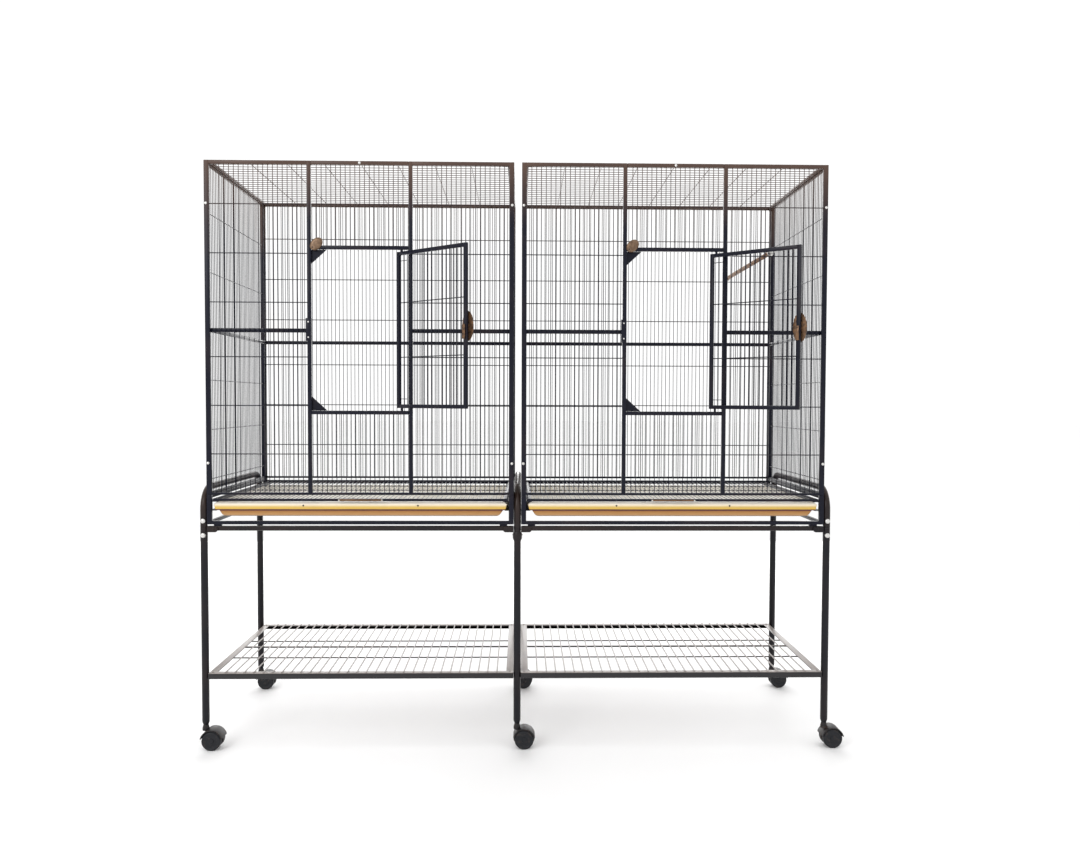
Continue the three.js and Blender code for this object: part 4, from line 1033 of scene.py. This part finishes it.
# %% Build the short grilles over and under the doors
for side, (low, high) in cages.items():
    place = stand_at(low + Vector((doorway_left, 0, 0)), (1, 0, 0))
    left, right = GAP, DOORWAY - GAP
    top = cage_size.z
    bm = bmesh.new()
    bar(bm, (left, 0, DOORWAY_TOP), (right, WALL, DOORWAY_TOP + DOOR_BAR))
    bar(bm, (left, 0, top - RAIL), (right, WALL, top))
    rows = [z for z in front_rows if z > DOORWAY_TOP]
    grille(bm, 2 * EMBED, DOORWAY - 2 * EMBED, DOORWAY_TOP + DOOR_BAR, top - RAIL, rows)
    node = f"grille_over_door_{side}"
    finish_piece(f"short_{node}", bm, frame_coat, "stand_and_cages", [node], place)

    bm = bmesh.new()
    bar(bm, (left, 0, 0), (right, WALL, SILL))
    bar(bm, (left, 0, DOORWAY_BOTTOM - DOOR_BAR), (right, WALL, DOORWAY_BOTTOM))
    rows = [z for z in front_rows if z < DOORWAY_BOTTOM]
    grille(bm, 2 * EMBED, DOORWAY - 2 * EMBED, SILL, DOORWAY_BOTTOM - DOOR_BAR, rows)
    node = f"grille_under_door_{side}"
    finish_piece(f"short_{node}", bm, frame_coat, "stand_and_cages", [node], place)

# %% [markdown]
# Small zinc bolts pin the front walls to the sides, two at each corner, and one sits in the
# middle of the top rail. The keeper has two of its own. They make one piece per cage.

# %% Build the bolts of the cages
CORNER_BOLT = 4 * MM
BOLT_HEAD = 2.5 * MM
BOLT_INSET = 5 * MM
LOWER_BOLT = 83 * MM
UPPER_BOLT = cage_size.z - 111 * MM
KEEPER_SCREW = 20 * MM

for side, (low, high) in cages.items():
    bm = bmesh.new()
    for x in (BOLT_INSET, cage_size.x - BOLT_INSET):
        for z in (LOWER_BOLT, UPPER_BOLT):
            domed_bolt(bm, (x, 0, z), (0, -1, 0), CORNER_BOLT, BOLT_HEAD)
    top_seat = (doorway_left + DOORWAY / 2, 0, cage_size.z - RAIL / 2)
    domed_bolt(bm, top_seat, (0, -1, 0), CORNER_BOLT, BOLT_HEAD)
    for offset in (-KEEPER_SCREW, KEEPER_SCREW):
        seat = (doorway_left - UPRIGHT / 2 - 2 * MM, -KEEPER_SHEET, DOOR_MIDDLE + offset)
        domed_bolt(bm, seat, (0, -1, 0), 2 * MM, 0.4 * MM)
    place = stand_at(low, (1, 0, 0))
    finish_piece(f"cage_bolts_{side}", bm, zinc, "stand_and_cages", matrix=place)

# %% [markdown]
# The roof and the wire floor lie flat. Each has a frame of thin bars, with wires one way and a few
# thicker rods the other way under them. Since the wires may run along X or along Y, the helper
# works with the numbers of the two axes: 0 is X and 1 is Y.


# %% Helper: a flat grille
FLAT_FRAME = 7 * MM
FLAT_WIRE = 0.9 * MM


def flat_grille(bm, low, high, along_x, supports, pitch):
    """Adds a framed flat grille between two corners, with its wires along X or along Y."""
    inner_low = low + Vector((FLAT_FRAME, FLAT_FRAME, 0))
    inner_high = high - Vector((FLAT_FRAME, FLAT_FRAME, 0))
    bar(bm, low, (high.x, inner_low.y, high.z), 1 * MM)
    bar(bm, (low.x, inner_high.y, low.z), high, 1 * MM)
    for x0, x1 in ((low.x, inner_low.x), (inner_high.x, high.x)):
        start = (x0, inner_low.y - EMBED, low.z + HAIR / 2)
        bar(bm, start, (x1, inner_high.y + EMBED, high.z - HAIR / 2), 1 * MM)
    level = high.z - FLAT_WIRE - GAP
    under = level - 2.2 * FLAT_WIRE
    across, lengthwise = (1, 0) if along_x else (0, 1)
    for place in even_places(inner_low[across], inner_high[across], pitch):
        ends = []
        for end in (inner_low[lengthwise] - EMBED, inner_high[lengthwise] + EMBED):
            ends.append((end, place, level) if along_x else (place, end, level))
        wire(bm, *ends, FLAT_WIRE)
    start, end = inner_low[lengthwise], inner_high[lengthwise]
    for index in range(supports):
        place = start + (end - start) * (index + 1) / (supports + 1)
        ends = []
        for edge in (inner_low[across] - EMBED, inner_high[across] + EMBED):
            ends.append((place, edge, under) if along_x else (edge, place, under))
        wire(bm, *ends, 1.4 * FLAT_WIRE)


# %% [markdown]
# The roof has only half as many wires as the walls. They run from left to right, and seven rods
# hold them up from below.

# %% Build the roofs
for side in SIDES:
    node = f"roof_{side}"
    bm = bmesh.new()
    flat_grille(bm, *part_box(node), along_x=True, supports=7, pitch=2 * WIRE_PITCH)
    finish_piece(f"grille_{node}", bm, frame_coat, "stand_and_cages", [node])

# %% [markdown]
# Under each cage stands the drawer frame: posts in the corners, rails round the bottom and the
# top, ledges for the wire floor and the tray at both sides, and four feet on the rails of the
# stand. The front has no top rail, because both drawers slide out there. One helper adds the
# posts and the rails between them, and a second one adds what one side carries inside.


# %% Helpers: the frame of the drawers and its sides
BASE_RAIL = 9 * MM
BACK_DROP = 6 * MM
LEDGE = 1.5 * MM
FOOT = (20 * MM, 12 * MM, 4.5 * MM)
FOOT_INSET = 17 * MM


def posts_and_rails(bm, low, high):
    """Adds four posts and the rails between them, with none at the top of the front."""
    for x in (low.x, high.x - CORNER):
        for y in (low.y, high.y - WALL):
            bar(bm, (x, y, low.z), (x + CORNER, y + WALL, high.z))
    start, end = low.x + CORNER - EMBED, high.x - CORNER + EMBED
    back_top = high.z - BACK_DROP - BASE_RAIL
    for y, z in ((low.y, low.z), (high.y - WALL, low.z), (high.y - WALL, back_top)):
        bar(bm, (start, y + HAIR, z), (end, y + WALL - HAIR, z + BASE_RAIL))
    start, end = low.y + WALL - EMBED, high.y - WALL + EMBED
    for x in (low.x, high.x - WALL):
        for z in (low.z, high.z - BASE_RAIL):
            bar(bm, (x + HAIR, start, z), (x + WALL - HAIR, end, z + BASE_RAIL))


def ledge(bm, x, inward, reach, start, end, level):
    """Adds a ledge that reaches inwards from the outer face, at X x, of one side."""
    near, far = sorted((x + inward * WALL / 2, x + inward * (WALL + reach)))
    bar(bm, (near, start, level - LEDGE), (far, end, level), 0.4 * MM)


def foot(bm, x, y, bottom, top):
    """Adds a foot round a point on the ground plan."""
    half = Vector((FOOT[0] / 2, FOOT[1] / 2, 0))
    centre = Vector((x, y, 0))
    bar(bm, centre - half + UP * bottom, centre + half + UP * top, soften=1 * MM)


# %% [markdown]
# The floor slides on the upper ledges, and the rim of the tray on the lower ones. So each ledge
# ends just under what it carries, and its level comes from the box of that drawer.

# %% Build the drawer frames
FLOOR_LEDGE_REACH = 18 * MM
TRAY_LEDGE_REACH = 14 * MM

for side, (cage_low, cage_high) in cages.items():
    node = f"base_{side}"
    foot_bottom, top = (corner.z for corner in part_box(node))
    bottom = foot_bottom + FOOT[2] - GAP
    low = Vector((cage_low.x, cage_low.y, bottom))
    high = Vector((cage_high.x, cage_high.y, top))
    bm = bmesh.new()
    posts_and_rails(bm, low, high)
    floor_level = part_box(f"wire_floor_{side}")[0].z - GAP
    tray_level = tray_low.z + PAN_DEPTH - GAP
    start, end = low.y + WALL / 2, high.y - WALL / 2
    for x, inward in ((low.x, 1), (high.x, -1)):
        ledge(bm, x, inward, FLOOR_LEDGE_REACH, start, end, floor_level)
        ledge(bm, x, inward, TRAY_LEDGE_REACH, start, end, tray_level)
        foot_x = x + inward * (FOOT_INSET + FOOT[0] / 2)
        for foot_y in (middle.y - half_spread, middle.y + half_spread):
            foot(bm, foot_x, foot_y, foot_bottom, bottom + EMBED)
    finish_piece(f"drawer_frame_{side}", bm, frame_coat, "stand_and_cages", [node])

# %% [markdown]
# The wire floor slides out over the tray. Its handle is a strip of sheet that stands a little
# before its frame, with a bright rivet at each end. Strip and rivets are pieces of their own, so
# that each can have its own finish.

# %% Build the wire floors
HANDLE_REACH = 5 * MM
HANDLE_STRIP = 116 * MM
HANDLE_SHEET = 2 * MM
HANDLE_LEVELS = (1.5 * MM, 5.5 * MM)

for side in SIDES:
    node = f"wire_floor_{side}"
    low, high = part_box(node)
    face = low.y
    low = Vector((low.x, face + HANDLE_REACH, low.z))
    bm = bmesh.new()
    flat_grille(bm, low, high, along_x=False, supports=3, pitch=WIRE_PITCH)
    finish_piece(f"grille_{node}", bm, frame_coat, f"floor_{side}", [node])
    bm = bmesh.new()
    left = (low.x + high.x - HANDLE_STRIP) / 2
    right = left + HANDLE_STRIP
    z0, z1 = (low.z + level for level in HANDLE_LEVELS)
    bar(bm, (left, face, z0), (right, face + HANDLE_SHEET, z1), 0.7 * MM)
    for x in (left, right - HANDLE_SHEET):
        lug_high = (x + HANDLE_SHEET, low.y + EMBED, z1)
        bar(bm, (x, face + HANDLE_SHEET / 2, z0), lug_high, 0.5 * MM)
    finish_piece(f"floor_handle_{side}", bm, bronze, f"floor_{side}")
    bm = bmesh.new()
    for x in (left + HANDLE_SHEET, right - HANDLE_SHEET):
        domed_bolt(bm, (x, face, (z0 + z1) / 2), (0, -1, 0), 1.9 * MM, 0.5 * MM)
    finish_piece(f"floor_rivets_{side}", bm, zinc, f"floor_{side}")

# %% [markdown]
# The tray is deep-drawn from one sheet. Its shape is a pile of rectangles at rising levels: up the
# leaning pan, out to the shoulder, up the rim and in along the sloping flange, and then back down
# inside at the thickness of the sheet. So the profile of one wall is enough to describe it.


# %% Helper: the levels of a tray
PAN_INSET = 12 * MM
PAN_LEAN = 12 * MM
PAN_SETBACK = 10 * MM
RIM_LEAN = 5 * MM
FLANGE_SLOPE = 7 * MM
FLANGE_HEIGHT = 5.5 * MM
TRAY_SHEET = 1.3 * MM


def tray_levels(low, high):
    """Outlines of a tray, each its inset in X, its inset in Y and its height."""
    shoulder = low + PAN_DEPTH
    fold = high - FLANGE_HEIGHT
    inner = TRAY_SHEET
    bottom = PAN_INSET + PAN_LEAN
    outside = [
        (bottom + 3 * MM, PAN_SETBACK + 6 * MM, low),
        (bottom - 1 * MM, PAN_SETBACK + 3 * MM, low + 1.5 * MM),
        (bottom - 5 * MM, PAN_SETBACK + 1.5 * MM, low + 5 * MM),
        (PAN_INSET, PAN_SETBACK, shoulder - 0.4 * MM),
        (RIM_LEAN, 0.4 * MM, shoulder),
        (1.3 * MM, 0, fold),
        (FLANGE_SLOPE, FLANGE_SLOPE, high),
    ]
    inside = [
        (FLANGE_SLOPE + 0.7 * MM, FLANGE_SLOPE + 0.7 * MM, high - 1.1 * MM),
        (1.3 * MM + inner, inner, fold - 0.6 * MM),
        (RIM_LEAN + inner, 0.4 * MM + inner, shoulder + inner),
        (PAN_INSET + inner, PAN_SETBACK + inner, shoulder + inner - 0.4 * MM),
        (bottom - 5 * MM + inner, PAN_SETBACK + 1.5 * MM + inner, low + 5 * MM + inner / 2),
        (bottom + 3 * MM, PAN_SETBACK + 6 * MM, low + inner),
    ]
    return outside + inside


# %% [markdown]
# The mesh starts as a single face, the bottom of the pan. Its outer edges are extruded again and
# again, each time to the outline of the next level. Every new corner inherits the two sides it
# belongs to from the corner it grew from. The last outline is filled, which closes the body, and a
# bevel rounds the upright corners.


# %% Helpers: draw a tray through its levels
def place_corners(corners, half, y0, y1, level):
    """Moves the four corners of an outline, by their sides, to one level."""
    inset_x, inset_y, z = level
    for vert, (sign, back) in corners.items():
        vert.co = Vector((sign * (half - inset_x), y1 - inset_y if back else y0 + inset_y, z))


def drawn_tray(bm, half, y0, y1, levels):
    """Draws a tray round X 0 from its bottom over its flange to its inside."""
    made = bmesh.ops.create_grid(bm, x_segments=1, y_segments=1, size=1)["verts"]
    corners = {vert: (math.copysign(1, vert.co.x), vert.co.y > 0) for vert in made}
    place_corners(corners, half, y0, y1, levels[0])
    uprights = []
    for level in levels[1:]:
        extruded = bmesh.ops.extrude_edge_only(bm, edges=ring_edges(corners))["geom"]
        grown = {}
        for vert in [item for item in extruded if isinstance(item, bmesh.types.BMVert)]:
            upright = [edge for edge in vert.link_edges if edge.other_vert(vert) in corners][0]
            grown[vert] = corners[upright.other_vert(vert)]
            uprights.append(upright)
        corners = grown
        place_corners(corners, half, y0, y1, level)
    bmesh.ops.holes_fill(bm, edges=ring_edges(corners), sides=0)
    bmesh.ops.bevel(
        bm,
        geom=uprights,
        offset=3 * MM,
        offset_type="OFFSET",
        affect="EDGES",
        segments=3,
        profile=0.5,
        material=-1,
    )


# %% [markdown]
# A face looks inwards if its normal points towards the middle of the tray. That answer is stored
# on the mesh as an attribute, and the paint reads it. Two dark screws sit in the front of the rim.

# %% Build the trays
SCREW_SPREAD = 150 * MM
SCREW_DROP = 9 * MM

for side in SIDES:
    node = f"tray_{side}"
    low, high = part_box(node)
    bm = bmesh.new()
    drawn_tray(bm, (high.x - low.x) / 2, low.y, high.y, tray_levels(low.z, high.z))
    centre = Vector(((low.x + high.x) / 2, (low.y + high.y) / 2, high.z - 8 * MM))
    place = Matrix.Translation((centre.x, 0, 0))
    piece = finish_piece(f"drawn_{node}", bm, tray_paint, f"tray_{side}", [node], place)
    inward = piece.data.attributes.new("inside", "FLOAT", "FACE")
    for polygon, value in zip(piece.data.polygons, inward.data):
        value.value = 1.0 if (centre - polygon.center).dot(polygon.normal) > 0 else 0.0
    print("faces that look inwards:", round(sum(value.value for value in inward.data)))
    bm = bmesh.new()
    for offset in (-SCREW_SPREAD, SCREW_SPREAD):
        seat = (centre.x + offset, low.y, high.z - SCREW_DROP)
        domed_bolt(bm, seat, (0, -1, 0), 2.4 * MM, 1 * MM)
    finish_piece(f"tray_screws_{side}", bm, dark_screw, f"tray_{side}")

# %% [markdown]
# A door hangs between two pins and stands open at rest. It is built shut, in a frame of its own
# whose origin lies on the pivot, and one matrix then swings it to its angle. The joint from the
# CAD file says where the pivot is and how far the door can turn back to its shut place.


# %% Place of the doors
def door_place(side):
    """Matrix from the frame of the shut door, at its pivot and lower edge, to its open place."""
    joint = joints[f"door_{side}_hinge"]
    pivot = Vector(joint["pos_m"]) - UP * DOOR_HEIGHT / 2
    return Matrix.Translation(pivot) @ Matrix.Rotation(math.radians(-joint["range_deg"][0]), 4, "Z")


door_free = PIN_INSET - DOOR_WIDTH
latch_x = door_free + 5 * MM
print("doors stand open by", -joints["door_left_hinge"]["range_deg"][0], "degrees")

# %% [markdown]
# The door has a frame of square bar, a grille with two level wires, and two short wires that tie
# the hinge-side stile near its corners. Two round pins stand out of its upper and lower edge.

# %% Build the doors
DOOR_SHEET = 8 * MM
DOOR_RAIL = 10 * MM
PIN = 3 * MM
PIN_BELOW = 14 * MM
PIN_ABOVE = 11.5 * MM
TIE_INSET = 24 * MM

for side in SIDES:
    bm = bmesh.new()
    half = DOOR_SHEET / 2
    top = DOOR_HEIGHT
    bar(bm, (door_free, -half, 0), (door_free + DOOR_RAIL, half, top))
    bar(bm, (PIN_INSET - DOOR_RAIL, -half, 0), (PIN_INSET, half, top))
    inner_left, inner_right = door_free + DOOR_RAIL, PIN_INSET - DOOR_RAIL
    for z in (0, top - DOOR_RAIL):
        start = (inner_left - EMBED, 0.2 * MM - half, z)
        bar(bm, start, (inner_right + EMBED, half - 0.2 * MM, z + DOOR_RAIL))
    rows = (top / 2 - FIRST_ROW, top / 2 + FIRST_ROW)
    grille(bm, inner_left, inner_right, DOOR_RAIL, top - DOOR_RAIL, rows, plane=-WIRE)
    columns = even_places(inner_left, inner_right, WIRE_PITCH)
    for z in (TIE_INSET, top - TIE_INSET):
        wire(bm, (columns[-2] - WIRE, 0.8 * WIRE, z), (inner_right + EMBED, 0.8 * WIRE, z))
    wire(bm, (0, 0, -PIN_BELOW), (0, 0, DOOR_RAIL / 2), PIN, 16)
    wire(bm, (0, 0, top - DOOR_RAIL / 2), (0, 0, top + PIN_ABOVE), PIN, 16)
    node = f"door_{side}"
    body = f"door_{side}"
    finish_piece(f"grille_{node}", bm, frame_coat, body, [node], door_place(side))

# %% [markdown]
# The latch turns in the free stile of its door. Outside is an oval pressed handle that stands off
# the door on a boss, so it clears the keeper. A shaft runs through the stile to a flat tongue
# inside, which swings behind the upright. A domed rivet marks the end of the shaft on the handle.

# %% Build the latches
HANDLE = (18 * MM, 37.5 * MM)
HANDLE_STEPS = [
    (1.2 * MM, 0.0),
    (3.4 * MM, 0.04),
    (5.6 * MM, 0.14),
    (7.4 * MM, 0.3),
    (8.2 * MM, 0.46),
]
BOSS = 5.5 * MM
BOSS_REACH = 2.3 * MM
SHAFT = 2.6 * MM
TONGUE_HALF = 4 * MM
TONGUE_DROP = 32 * MM
TONGUE_SHEET = 3 * MM

for side in SIDES:
    bm = bmesh.new()
    face = -DOOR_SHEET / 2 - GAP
    seat = face - BOSS_REACH
    pressed_oval(bm, (0, seat, 0), *HANDLE, HANDLE_STEPS)
    crown = seat - HANDLE_STEPS[-1][0]
    domed_bolt(bm, (0, crown, 0), (0, -1, 0), 4 * MM, 0.8 * MM)
    wire(bm, (0, seat - EMBED, 0), (0, face, 0), BOSS, 16)
    back = WALL - DOOR_SHEET / 2 + GAP
    wire(bm, (0, face - EMBED, 0), (0, back + EMBED, 0), SHAFT, 14)
    tongue_back = back + TONGUE_SHEET
    tongue_high = (TONGUE_HALF, tongue_back, TONGUE_HALF)
    bar(bm, (-TONGUE_HALF, back, -TONGUE_DROP), tongue_high, 0.8 * MM)
    domed_bolt(bm, (0, tongue_back, 0), (0, 1, 0), 3.2 * MM, 0.5 * MM)
    place = door_place(side) @ Matrix.Translation((latch_x, 0, DOOR_HEIGHT / 2))
    node = f"door_latch_{side}"
    finish_piece(f"oval_{node}", bm, bronze, f"latch_{side}", [node], place)

# %% [markdown]
# A turn button sits on the bar over the doorway. Turned down it holds the shut door. It is an
# oval like the handle, smaller and lighter, with a dark screw near one end as its pivot.

# %% Build the turn buttons
BUTTON = (19 * MM, 14 * MM)
BUTTON_REACH = 12 * MM
BUTTON_STEPS = [
    (0.8 * MM, 0.0),
    (2.2 * MM, 0.05),
    (3.6 * MM, 0.15),
    (4.6 * MM, 0.3),
    (5.0 * MM, 0.48),
]
SCREW_FACE = -4 * MM

for side in SIDES:
    joint = joints[f"button_{side}_turn"]
    tilt = Matrix.Rotation(math.radians(joint["range_deg"][0]), 4, "Y")
    place = Matrix.Translation(joint["pos_m"]) @ tilt
    bm = bmesh.new()
    pressed_oval(bm, (BUTTON_REACH, -GAP, 0), *BUTTON, BUTTON_STEPS)
    node = f"turn_button_{side}"
    body = f"button_{side}"
    finish_piece(f"oval_{node}", bm, tan_metal, body, [node], place)
    bm = bmesh.new()
    domed_bolt(bm, (0, SCREW_FACE, 0), (0, -1, 0), 3 * MM, 1.2 * MM)
    wire(bm, (0, SCREW_FACE, 0), (0, WALL + 2 * MM, 0), 2 * MM, 12)
    wire(bm, (0, WALL + GAP, 0), (0, WALL + 2.5 * MM, 0), 4 * MM, 6)
    finish_piece(f"button_screw_{side}", bm, dark_screw, body, matrix=place)

# %% [markdown]
# A caster has two wheels on one axle, a hood over them, a web between them and a stem that turns
# in the leg. The hood is a part of a round shell. A small rectangle, its cross-section, is spun
# through a little less than half a turn about the axle, and its edges are bevelled.


# %% Helper: part of a round shell
def spun_sector(bm, axle, inner, outer, half_width, from_angle, to_angle, soften):
    """Adds part of a round shell about Y, from one angle over +X to another."""
    verts = []
    across, up = math.cos(from_angle), math.sin(from_angle)
    for radius, sign in ((inner, -1), (outer, -1), (outer, 1), (inner, 1)):
        place = Vector((radius * across, sign * half_width, radius * up))
        verts.append(bm.verts.new(axle + place))
    face = bm.faces.new(verts)
    before = set(bm.verts) - set(verts)
    bmesh.ops.spin(
        bm,
        geom=[face],
        cent=axle,
        axis=(0, -1, 0),
        dvec=(0, 0, 0),
        angle=to_angle - from_angle,
        steps=18,
        use_merge=False,
        use_duplicate=False,
    )
    new = [vert for vert in bm.verts if vert not in before]
    bmesh.ops.recalc_face_normals(bm, faces=list({f for v in new for f in v.link_faces}))
    sharp = [e for e in {e for v in new for e in v.link_edges} if e.calc_face_angle(0) > 0.9]
    bmesh.ops.bevel(
        bm,
        geom=sharp,
        offset=soften,
        offset_type="OFFSET",
        affect="EDGES",
        segments=2,
        profile=0.5,
        material=-1,
    )


# %% [markdown]
# Hood and web are two such sectors round the axle. The boss over them is a turned shape round the
# swivel axis, and so is the bright stem that goes up into the leg. The axle lies beside the swivel
# axis, so that the caster trails as the stand is pushed.

# %% Build the casters
HOOD_INNER = 27 * MM
HOOD_OUTER = 29.5 * MM
HOOD_FROM = 0.21
HALF_PAIR = 22.5 * MM
WEB_HALF = 5.2 * MM
WEB_FROM = -0.3
AXLE_HOLE = 3.6 * MM

boss_profile = [
    (0, 0),
    (6.2 * MM, 0),
    (7 * MM, -1 * MM),
    (9 * MM, -9 * MM),
    (9 * MM, -15 * MM),
    (0, -15 * MM),
]
stem_profile = [
    (0, -2 * MM),
    (5 * MM, -2 * MM),
    (5 * MM, 29 * MM),
    (4 * MM, 30 * MM),
    (0, 30 * MM),
]

for end, facing in ENDS:
    for side in COLUMNS:
        body = f"caster_{end}_{side}"
        swivel = Vector(joints[f"{body}_swivel"]["pos_m"])
        axle = Vector(joints[f"wheels_{end}_{side}_roll"]["pos_m"])
        bm = bmesh.new()
        hood = (HOOD_INNER, HOOD_OUTER, HALF_PAIR, HOOD_FROM, math.pi - HOOD_FROM)
        spun_sector(bm, axle, *hood, 0.8 * MM)
        web = (AXLE_HOLE, HOOD_INNER + EMBED, WEB_HALF, WEB_FROM, math.pi - WEB_FROM)
        spun_sector(bm, axle, *web, 0.6 * MM)
        turned(bm, boss_profile, swivel - UP * GAP, UP, TUBE_SIDES)
        finish_piece(f"hood_{end}_{side}", bm, hood_plastic, body, [body])
        bm = bmesh.new()
        turned(bm, stem_profile, swivel, UP, 16)
        finish_piece(f"stem_{end}_{side}", bm, zinc, body)

# %% [markdown]
# Each wheel is turned: a flat tread with round shoulders, a rim, a dished side and a raised hub
# cap. The pair and its axle are one piece, since they roll together here.

# %% Build the wheels
WHEEL = 25.5 * MM
WHEEL_INSIDE = 5.5 * MM
WHEEL_WIDTH = 17 * MM
AXLE = 3 * MM

wheel_profile = [
    (0, 0),
    (20 * MM, 0),
    (23.6 * MM, 0.6 * MM),
    (25.1 * MM, 2.2 * MM),
    (WHEEL, 4.5 * MM),
    (WHEEL, 12 * MM),
    (25.1 * MM, 14.4 * MM),
    (23.6 * MM, 16 * MM),
    (21.4 * MM, 16.6 * MM),
    (20 * MM, 15.6 * MM),
    (14 * MM, 15 * MM),
    (8 * MM, 15.2 * MM),
    (7.2 * MM, 16.8 * MM),
    (4 * MM, WHEEL_WIDTH),
    (0, WHEEL_WIDTH),
]

for end, facing in ENDS:
    for side in COLUMNS:
        node = f"wheels_{end}_{side}"
        axle = Vector(joints[f"{node}_roll"]["pos_m"])
        bm = bmesh.new()
        for outward in (-1, 1):
            seat = axle + Vector((0, outward * WHEEL_INSIDE, 0))
            turned(bm, wheel_profile, seat, (0, outward, 0), 40)
        reach = Vector((0, WHEEL_INSIDE + EMBED, 0))
        wire(bm, axle - reach, axle + reach, AXLE, 14)
        finish_piece(f"twin_{node}", bm, tread_plastic, node, [node])

# %% [markdown]
# One perch crosses the right cage from front to back. It is a dowel with rounded ends between two
# washers. A screw leaves each end through the wires, and a wing nut holds it outside: a small
# turned hub with two flat wings.

# %% Build the dowel of the perch
WASHER = 3 * MM
DOWEL = 6 * MM

low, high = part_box("perch")
x = (low.x + high.x) / 2
z = (low.z + high.z) / 2
washer_reach = cage_size.y / 2 - WALL - 1 * MM
dowel_reach = washer_reach - WASHER
bm = bmesh.new()
tube(bm, (x, middle.y - dowel_reach, z), (x, middle.y + dowel_reach, z), DOWEL, 20, 0.8 * MM)
finish_piece("perch_dowel", bm, dowel_wood, "stand_and_cages", ["perch"])

# %% [markdown]
# The fittings at both ends of the perch are zinc, so they make one piece of their own. The wings
# of a nut are two small bars at the sides of its hub.

# %% Build the washers, screws and wing nuts
NUT = 3 * MM
PERCH_SCREW = 2.2 * MM

washer_profile = [
    (0, 0),
    (8.6 * MM, 0),
    (9 * MM, -0.6 * MM),
    (9 * MM, -2.6 * MM),
    (8.4 * MM, -WASHER),
    (0, -WASHER),
]
nut_profile = [(0, 0), (4.4 * MM, 0), (3.6 * MM, 2.6 * MM), (0, NUT)]
nut_reach = cage_size.y / 2 - 1 * MM

bm = bmesh.new()
for end, facing in ENDS:
    y = middle.y + facing * washer_reach
    nut_y = middle.y + facing * nut_reach
    turned(bm, washer_profile, (x, y, z), (0, facing, 0), 24)
    wire(bm, (x, y, z), (x, nut_y + facing * 2 * MM, z), PERCH_SCREW, 10)
    turned(bm, nut_profile, (x, nut_y, z), (0, facing, 0), 16)
    y0, y1 = sorted((nut_y, nut_y + facing * NUT))
    for sign in (-1, 1):
        x0, x1 = sorted((x + sign * 3 * MM, x + sign * 7 * MM))
        bar(bm, (x0, y0 + 0.9 * MM, z - 2.4 * MM), (x1, y1 - 0.9 * MM, z + 2.4 * MM), 0.5 * MM)
finish_piece("perch_fittings", bm, zinc, "stand_and_cages")

# %% [markdown]
# The object stands on a plain white floor that meets a white world, so no horizon shows. The
# light is soft and comes from everywhere. One large lamp in front to the left gives the tubes a
# gentle highlight. A second one, as large as a window, stands behind the cage. Level faces mirror
# it at a low angle, which is why the tops of black rails look light grey in such a room. The
# camera doesn't see the lamps themselves: thin wires in front of a bright lamp would fade away.

# %% Floor and light
floor_finish = Finish("white_floor", Roughness=0.6, Specular_IOR_Level=0.1)
dust = floor_finish.noise(0.4, detail=3)
floor_finish.feed("Base Color", floor_finish.blend(dust, (0.93, 0.93, 0.93), (0.96, 0.96, 0.96)))
bm = bmesh.new()
bmesh.ops.create_circle(bm, cap_ends=True, radius=40, segments=96)
mesh = bpy.data.meshes.new("floor")
bm.to_mesh(mesh)
bm.free()
mesh.materials.append(floor_finish.material)
floor = bpy.data.objects.new("floor", mesh)
bpy.context.scene.collection.objects.link(floor)
floor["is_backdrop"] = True

world = bpy.data.worlds.new("white_room")
bpy.context.scene.world = world
world.use_nodes = True
background = world.node_tree.nodes["Background"]
background.inputs["Color"].default_value = (1, 1, 1, 1)
background.inputs["Strength"].default_value = 1.08


def soft_lamp(name, place, aim, size, power):
    """Adds a square lamp that shines from its place towards a point."""
    light = bpy.data.lights.new(name, "AREA")
    light.size = size
    light.energy = power
    lamp = bpy.data.objects.new(name, light)
    direction = Vector(aim) - Vector(place)
    lamp.matrix_world = (
        Matrix.Translation(place) @ direction.to_track_quat("-Z", "Y").to_matrix().to_4x4()
    )
    lamp.visible_camera = False
    bpy.context.scene.collection.objects.link(lamp)


soft_lamp("key_lamp", (-2.2, -3.0, 2.6), (0, 0, 0.8), 1.6, 40)
soft_lamp("window", (0, 3.4, 1.25), (0, 0, 1.25), 4.2, 130)
bpy.context.scene.view_settings.view_transform = "Standard"
print("white world, one key lamp and a window behind")

# %% [markdown]
# The camera stands in front of the middle of the object at chest height. It looks slightly down
# and a little to the right. Its axes come from those angles, and its place is measured from the
# middle hoop.

# %% Camera
YAW, PITCH, ROLL = (math.radians(angle) for angle in (1.18, 2.0, 0.18))
ahead = math.cos(PITCH)
forward = Vector((math.sin(YAW) * ahead, math.cos(YAW) * ahead, -math.sin(PITCH)))
level_right = Vector((math.cos(YAW), -math.sin(YAW), 0))
level_up = level_right.cross(forward)
right = math.cos(ROLL) * level_right + math.sin(ROLL) * level_up
up = math.cos(ROLL) * level_up - math.sin(ROLL) * level_right
lens = bpy.data.cameras.new("camera")
lens.lens = 30.5
lens.sensor_width = 36
camera = bpy.data.objects.new("camera", lens)
place = Vector((middle.x + 9.3 * MM, middle.y - 2668.8 * MM, 922.6 * MM))
turn = Matrix((right, up, -forward)).transposed().to_4x4()
camera.matrix_world = Matrix.Translation(place) @ turn
bpy.context.scene.collection.objects.link(camera)
bpy.context.scene.camera = camera
print("camera", round((middle - place).length, 2), "m from the middle of the object")

# %% [markdown]
# The looks must stay as large as the CAD model. The box of all the pieces is measured, and the
# last line counts the pieces and their faces.

# %% Measure and finish
low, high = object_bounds()
print(len(pieces), "pieces,", sum(len(piece.data.polygons) for piece in pieces), "faces")
